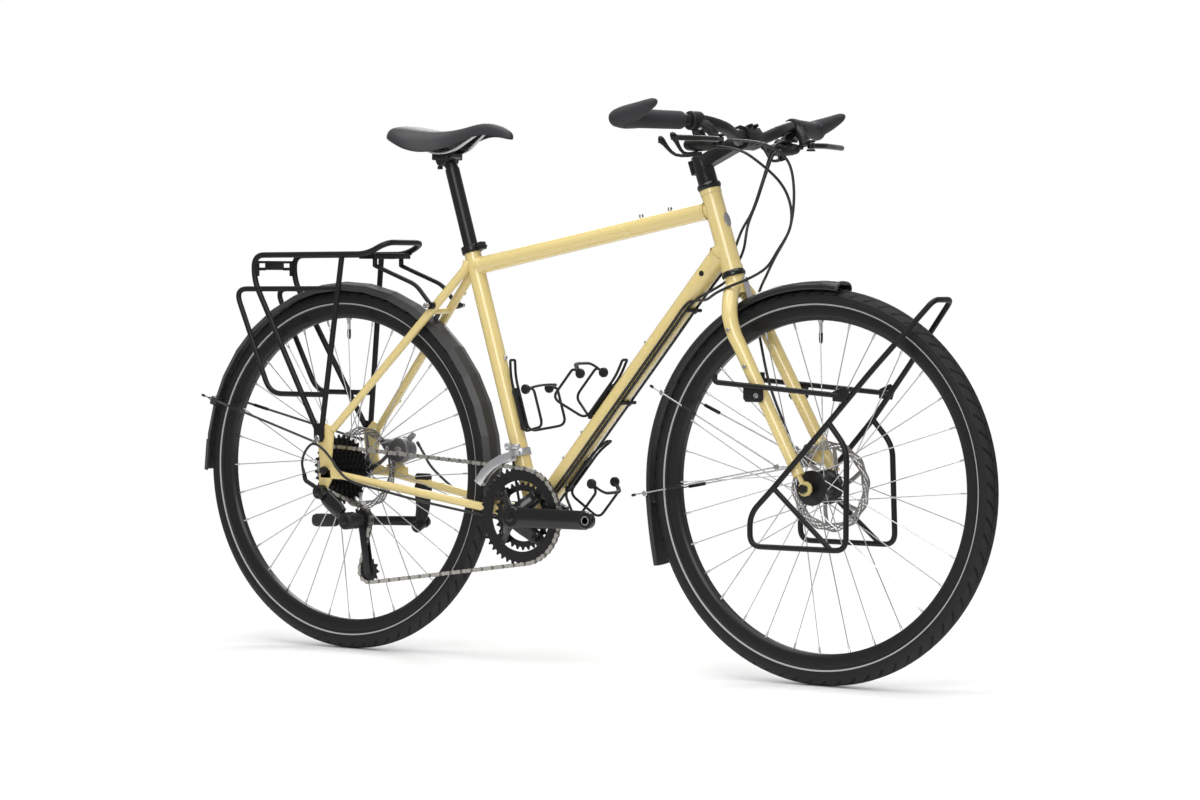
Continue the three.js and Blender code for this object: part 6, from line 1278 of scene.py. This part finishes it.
made("chain_outer_links", bright_links, "frame_assembly", nickel, ("chain",), 30)
made("chain_inner_links", dark_links, "frame_assembly", oiled, sharp=30)

# Rear derailleur: a black body of plastic and alloy, bolted to the frame's hanger.
# Its sprung cage carries two toothed plastic pulleys that keep the chain tight.
moulded("derailleur_mount", black_plastic, 1.0, 8)
link_body = bmesh.new()
link_top = at(6, -78.55, 298)
link_foot = at(guide_x, -78.55, guide_z)
link_line = (link_foot - link_top).normalized()
stretch = [link_top + link_line * reach * MM for reach in (-6, 0, 12, 26, 40, 50)]
sweep(link_body, stretch, [6, 7.4, 8, 8, 7.4, 6], 24, flat=2.1)
for reach in (0, 46):
    pin = link_top + link_line * reach * MM
    lift = link_line.cross(LEFT) * 11 * MM
    sweep(link_body, [pin - lift, pin + lift], 5.2, 20)
made("derailleur_link_body", link_body, "swing_link", black_gloss, ("derailleur_link",), 50)
moulded("derailleur_knuckle", black_plastic, 1.2, 6)
drum = bmesh.new()
drum_foot = at(guide_x, -66, guide_z)
sweep(drum, [drum_foot - LEFT * reach * MM for reach in (0, 2, 24, 27)], [14, 16.5, 16.5, 13], 32)
made("knuckle_drum", drum, "lower_knuckle", black_plastic)
knuckle_bolt = bmesh.new()
screw(knuckle_bolt, at(guide_x, -93, guide_z), -LEFT, 7, 2)
made("knuckle_bolt", knuckle_bolt, "lower_knuckle", black_gloss)
swivel = bmesh.new()
swivel_foot = at(-7, -72, 308)
sweep(swivel, [swivel_foot - LEFT * reach * MM for reach in (0, 2, 16, 18)], [11, 13.5, 13.5, 11], 28)
sweep(swivel, [swivel_foot - LEFT * 8 * MM, at(6, -80, 298)], [12, 11], 20)
made("derailleur_swivel", swivel, "frame_assembly", black_plastic)
mount_bolt = bmesh.new()
screw(mount_bolt, swivel_foot - LEFT * 18 * MM, -LEFT, 7, 3)
made("derailleur_mount_bolt", mount_bolt, "frame_assembly", black_gloss)
dressed("derailleur_cage", black_anodised, 0.5)
dressed("guide_pulley", black_plastic, 0.3, 1)
dressed("tension_pulley", black_plastic, 0.3, 1)

# Front derailleur: a pressed steel cage, bright plated, on a clamp round the seat tube.
# It pushes the chain from one ring to the other.
dressed("front_derailleur_clamp", silver_alloy, 0.8)
dressed("front_derailleur_cage", silver_alloy, 0.5)

# Brake calipers: grey cast alloy bodies, bolted to the fork and to the frame.
# The cable pulls a bright steel arm on each, which squeezes the pads on the disc.
grey_alloy = grained("grey_cast_alloy", (0.20, 0.20, 0.21), 0.38, metallic=0.9, grain=1800.0, depth=0.00004)
for end in ("front", "rear"):
    node = end + "_brake_caliper"
    inboard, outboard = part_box(node)
    centre = (inboard + outboard) / 2
    half = (outboard - inboard) / 2
    body = bmesh.new()
    inner = Vector((centre.x, inboard.y, centre.z))
    outer = Vector((centre.x, outboard.y, centre.z))
    shift = Vector((half.x * 0.25, 0, -half.z * 0.1))
    drum_sizes = [half.x * share for share in (560, 600, 480)]
    sweep(body, [inner + shift, inner.lerp(outer, 0.3) + shift, outer + shift], drum_sizes, 28)
    for way in (-1, 1):
        foot = centre + Vector((way * half.x * 0.7, 0, -half.z * 0.5 * way))
        sweep(body, [foot - LEFT * half.y * 0.8, foot + LEFT * half.y * 0.5], 7.5, 20)
        sweep(body, [foot, centre + shift], [8, 12], 16)
    stop = centre + Vector((half.x * 0.2, half.y * 0.6, half.z * 0.9))
    sweep(body, [centre + shift, stop], [9, 5.4], 16)
    fused(body, node + "_casting", solids[node]["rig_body"], grey_alloy, (node,), 1.3, 4)
    studs = bmesh.new()
    for way in (-1, 1):
        foot = centre + Vector((way * half.x * 0.7, half.y * 0.5, -half.z * 0.5 * way))
        screw(studs, foot, LEFT, 4.6, 4)
    screw(studs, outer + shift, LEFT, 8, 2)
    screw(studs, inner + shift, -LEFT, 8, 2)
    made(node + "_bolts", studs, solids[node]["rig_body"], bright_steel)
    dressed(end + "_brake_arm", bright_steel, 0.7)

# Kickstand: an alloy leg, powder-coated black, with a rubber foot pushed over its end.
# It folds on a cast bracket that is clamped round the left chain stay.
stand_turn = Vector((-0.019, -0.9076, -0.4195)).normalized()
stand_pivot = at(123, 73, 246)
casting = bmesh.new()
top = chain_stay(1, 135)
for side in SIDES:
    sweep(casting, [top + by(reach, 0, side * 9) for reach in (-16, 16)], 8, 16)
hang = [top - by(0, 0, 8), at(135, 58, 296), at(133, 60, 274), at(126, 62, 252)]
hang_sizes = [19, 19, 18.6, 18, 17.4, 16.6, 16, 15.4, 14.8, 14.2, 13.6, 13, 12.4]
sweep(casting, flowing(hang, 4), hang_sizes, 20, flat=0.58)
sweep(casting, [stand_pivot + stand_turn * 26 * MM, stand_pivot + stand_turn * 0.6 * MM], 11, 28)
fused(casting, "kickstand_casting", "frame_assembly", black_powder,
      ("kickstand_bracket",), 1.5, 5)
stand_out = -stand_turn
stand_line = Vector((-1, 0.05, -0.03))
stand_line = (stand_line - stand_out * stand_line.dot(stand_out)).normalized()
leg = bmesh.new()
hub = stand_pivot + stand_out * 4 * MM
sweep(leg, [stand_pivot, stand_pivot + stand_out * 8 * MM], 13, 36)
route = flowing([hub + stand_line * reach * MM for reach in (0, 90, 180, 250)], 4)
sweep(leg, route, [5.6 - 0.06 * k for k in range(13)], 20, flat=1.7)
screw(leg, stand_pivot + stand_out * 8 * MM, stand_out, 7, 5)
made("kickstand_leg_rod", leg, "kickstand", black_powder, ("kickstand_leg",))
foot = bmesh.new()
shoe = [hub + stand_line * reach * MM for reach in (226, 232, 262, 284, 290)]
sweep(foot, shoe, [6, 7, 7.4, 7.2, 6], 20, flat=1.8)
made("kickstand_foot", foot, "kickstand", rubber)

# Seat clamp and seatpost: black anodised alloy. The collar pinches the seat tube round
# the post, and two bolts in the post's head clamp the saddle's rails.
dressed("seat_clamp", black_anodised, 0.7)
rail_height = 955
post_top = seat_top + seat_up * 152 * MM
post = bmesh.new()
sweep(post, [seat_top - seat_up * 190 * MM, post_top], 13.6, 40)
head = Vector((post_top.x - 12 * MM, 0, rail_height * MM))
neck = [post_top - seat_up * 10 * MM, post_top + seat_up * 6 * MM, head - by(0, 0, 12)]
sweep(post, neck, [13.4, 12, 12], 28)
for rise, length, width, height in ((-9, 38, 48, 9), (5, 32, 50, 6), (-14, 24, 30, 20)):
    place = Matrix.LocRotScale(head + by(0, 0, rise), None, by(length, width, height))
    bmesh.ops.create_cube(post, size=1.0, matrix=place)
cubes = [edge for edge in post.edges if edge.is_manifold and edge.calc_face_angle() > math.radians(85)
         and edge.verts[0].co.z > head.z - 0.026]
softened(post, cubes, 2, 3)
made("seatpost_alloy", post, "saddle_and_post", black_anodised, ("seatpost",))
cradle = bmesh.new()
for way in (-1, 1):
    nut = head + by(way * 17, 0, -4)
    sweep(cradle, [nut + LEFT * reach * MM for reach in (-17, -15, 15, 17)], [6, 8, 8, 6], 20)
    sweep(cradle, [nut, nut - by(0, 0, 20)], 3.2, 16)
    sweep(cradle, [nut - by(0, 0, 20), nut - by(0, 0, 26)], 5.2, 16)
barrel = head - by(0, 0, 12)
sweep(cradle, [barrel + LEFT * reach * MM for reach in (-21, -19, 19, 21)], [11, 13.5, 13.5, 11], 28)
made("seatpost_cradle", cradle, "saddle_and_post", black_gloss)

# Saddle: a padded vinyl top, stretched and glued over a flexible shell.
# Two bent steel rails, pushed into the shell, carry it in the seatpost's head.
saddle_widths = (0.5, 0.92, 1, 0.97, 0.8, 0.6, 0.43, 0.33, 0.28, 0.25, 0.22, 0.18, 0.08)
saddle_crowns = (9, 1, 3, 8, 12, 14, 13, 10, 5, 1, 2, 9, 22)
saddle_skirts = (14, 27, 37, 44, 46, 42, 35, 29, 25, 23, 22, 20, 8)
saddle_rear, saddle_nose, saddle_half, saddle_top = 125, 399, 74, 1010
ring_points = 32


def saddle_point(i, turn_share):
    x = saddle_rear + (saddle_nose - saddle_rear) * i / 12
    half = saddle_widths[i] * saddle_half
    crown = saddle_top - saddle_crowns[i]
    skirt = saddle_skirts[i]
    turn = (turn_share * 4 - 1) * math.pi / 2 if turn_share < 0.5 else (3 - turn_share * 4) * math.pi / 2
    fall = (1 - math.cos(turn)) ** 1.6
    if turn_share < 0.5:
        return at(x, half * math.sin(turn), crown - skirt * fall)
    underside = min(crown - 11 - (skirt - 5.5) * fall, crown - 6.6)
    return at(x, half * math.sin(turn) * 0.96, underside)


pad = bmesh.new()
loops = []
for i in range(13):
    ring = bmesh.ops.create_circle(pad, cap_ends=False, segments=ring_points, radius=1.0)["verts"]
    for k, vert in enumerate(ring):
        vert.co = saddle_point(i, k / ring_points)
    loops.append(list({edge for vert in ring for edge in vert.link_edges}))
for before, after in zip(loops, loops[1:]):
    bmesh.ops.bridge_loops(pad, edges=before + after)
for end in (loops[0], loops[-1]):
    bmesh.ops.contextual_create(pad, geom=end)
vinyl = grained("saddle_vinyl", (0.034, 0.034, 0.037), 0.46, grain=1500.0, depth=0.0001, vary=0.1)
saddle_piece = made("saddle_pad", pad, "saddle_and_post", vinyl, ("saddle",), 80)
soften = saddle_piece.modifiers.new("soften", "SUBSURF")
soften.levels = soften.render_levels = 2
rails = bmesh.new()
for side in SIDES:
    y = side * 22
    cradle_x = head.x / MM - rear_axle_x / MM
    route = [at(172, y * 1.4, 1000.5), at(cradle_x - 27, y, rail_height), at(cradle_x + 27, y, rail_height),
             at(339, y * 0.35, 1000)]
    sweep(rails, rounded(route, 24, 8), 3.5, 16)
made("saddle_rails", rails, "saddle_and_post", bright_steel)

# Floor and light: a pale studio floor that fades into white, and large soft lamps.
# The world is white where the camera sees it, and dimmer as light on the object.
floor_shape = bmesh.new()
bmesh.ops.create_circle(floor_shape, cap_ends=True, segments=96, radius=6.0)
floor_mesh = bpy.data.meshes.new("floor")
floor_shape.to_mesh(floor_mesh)
floor_shape.free()
floor = bpy.data.objects.new("floor", floor_mesh)
bpy.context.scene.collection.objects.link(floor)
ground = Finish("floor", (0.97, 0.97, 0.97), 0.9)
spot = ground.node("ShaderNodeVectorMath", {"operation": "LENGTH"}, {0: ground.place()}, "Value")
fade = ground.node("ShaderNodeMapRange", {"interpolation_type": "SMOOTHSTEP"},
                   {"Value": spot, "From Min": 0.9, "From Max": 2.4, "To Min": 0.0, "To Max": 1.0})
clear = ground.node("ShaderNodeBsdfTransparent", {}, {})
solid = Socket(ground, ground.shader.outputs[0])
faded = ground.node("ShaderNodeMixShader", {}, {0: fade, 1: solid, 2: clear})
ground.set("Surface", faded, ground.tree.nodes["Material Output"])
floor.data.materials.append(ground.material)

world = bpy.data.worlds.new("studio")
bpy.context.scene.world = world
sky = Shading(world, "Background")
seen = sky.node("ShaderNodeLightPath", {}, {}, "Is Camera Ray")
sky.set("Strength", sky.node("ShaderNodeMapRange", {}, {"Value": seen, "To Min": 0.42, "To Max": 1.0}))
sky.set("Color", (1.0, 1.0, 1.0, 1.0))


def lamp(name, place, aim, size, power):
    data = bpy.data.lights.new(name, "AREA")
    data.shape = "DISK"
    data.size = size
    data.energy = power
    light = bpy.data.objects.new(name, data)
    light.location = place
    light.rotation_mode = "QUATERNION"
    light.rotation_quaternion = (Vector(aim) - Vector(place)).to_track_quat("-Z", "Y")
    bpy.context.scene.collection.objects.link(light)


lamp("overhead", (0.2, -0.4, 3.2), (0.1, 0, 0.3), 3.4, 84)
lamp("key", (1.6, -3.4, 2.2), (0.0, 0, 0.5), 2.0, 52)
lamp("back", (-1.6, 2.6, 2.4), (0.0, 0, 0.5), 2.0, 40)

# Camera: a long lens from the front right, almost level with the hubs.
# It stands where both tyres take the photograph's outlines.
camera_data = bpy.data.cameras.new("camera")
camera_data.sensor_width = 36.0
camera_data.lens = 97.1
camera = bpy.data.objects.new("camera", camera_data)
bpy.context.scene.collection.objects.link(camera)
camera_place = at(4024.6, -4852.4, 700.4)
camera_sight = at(596.0, 0, 493.6) - camera_place
camera_roll = Quaternion((0, 0, 1), math.radians(-0.131))
camera.location = camera_place
camera.rotation_mode = "QUATERNION"
camera.rotation_quaternion = camera_sight.to_track_quat("-Z", "Y") @ camera_roll
bpy.context.scene.camera = camera
bpy.context.scene.view_settings.view_transform = "Standard"
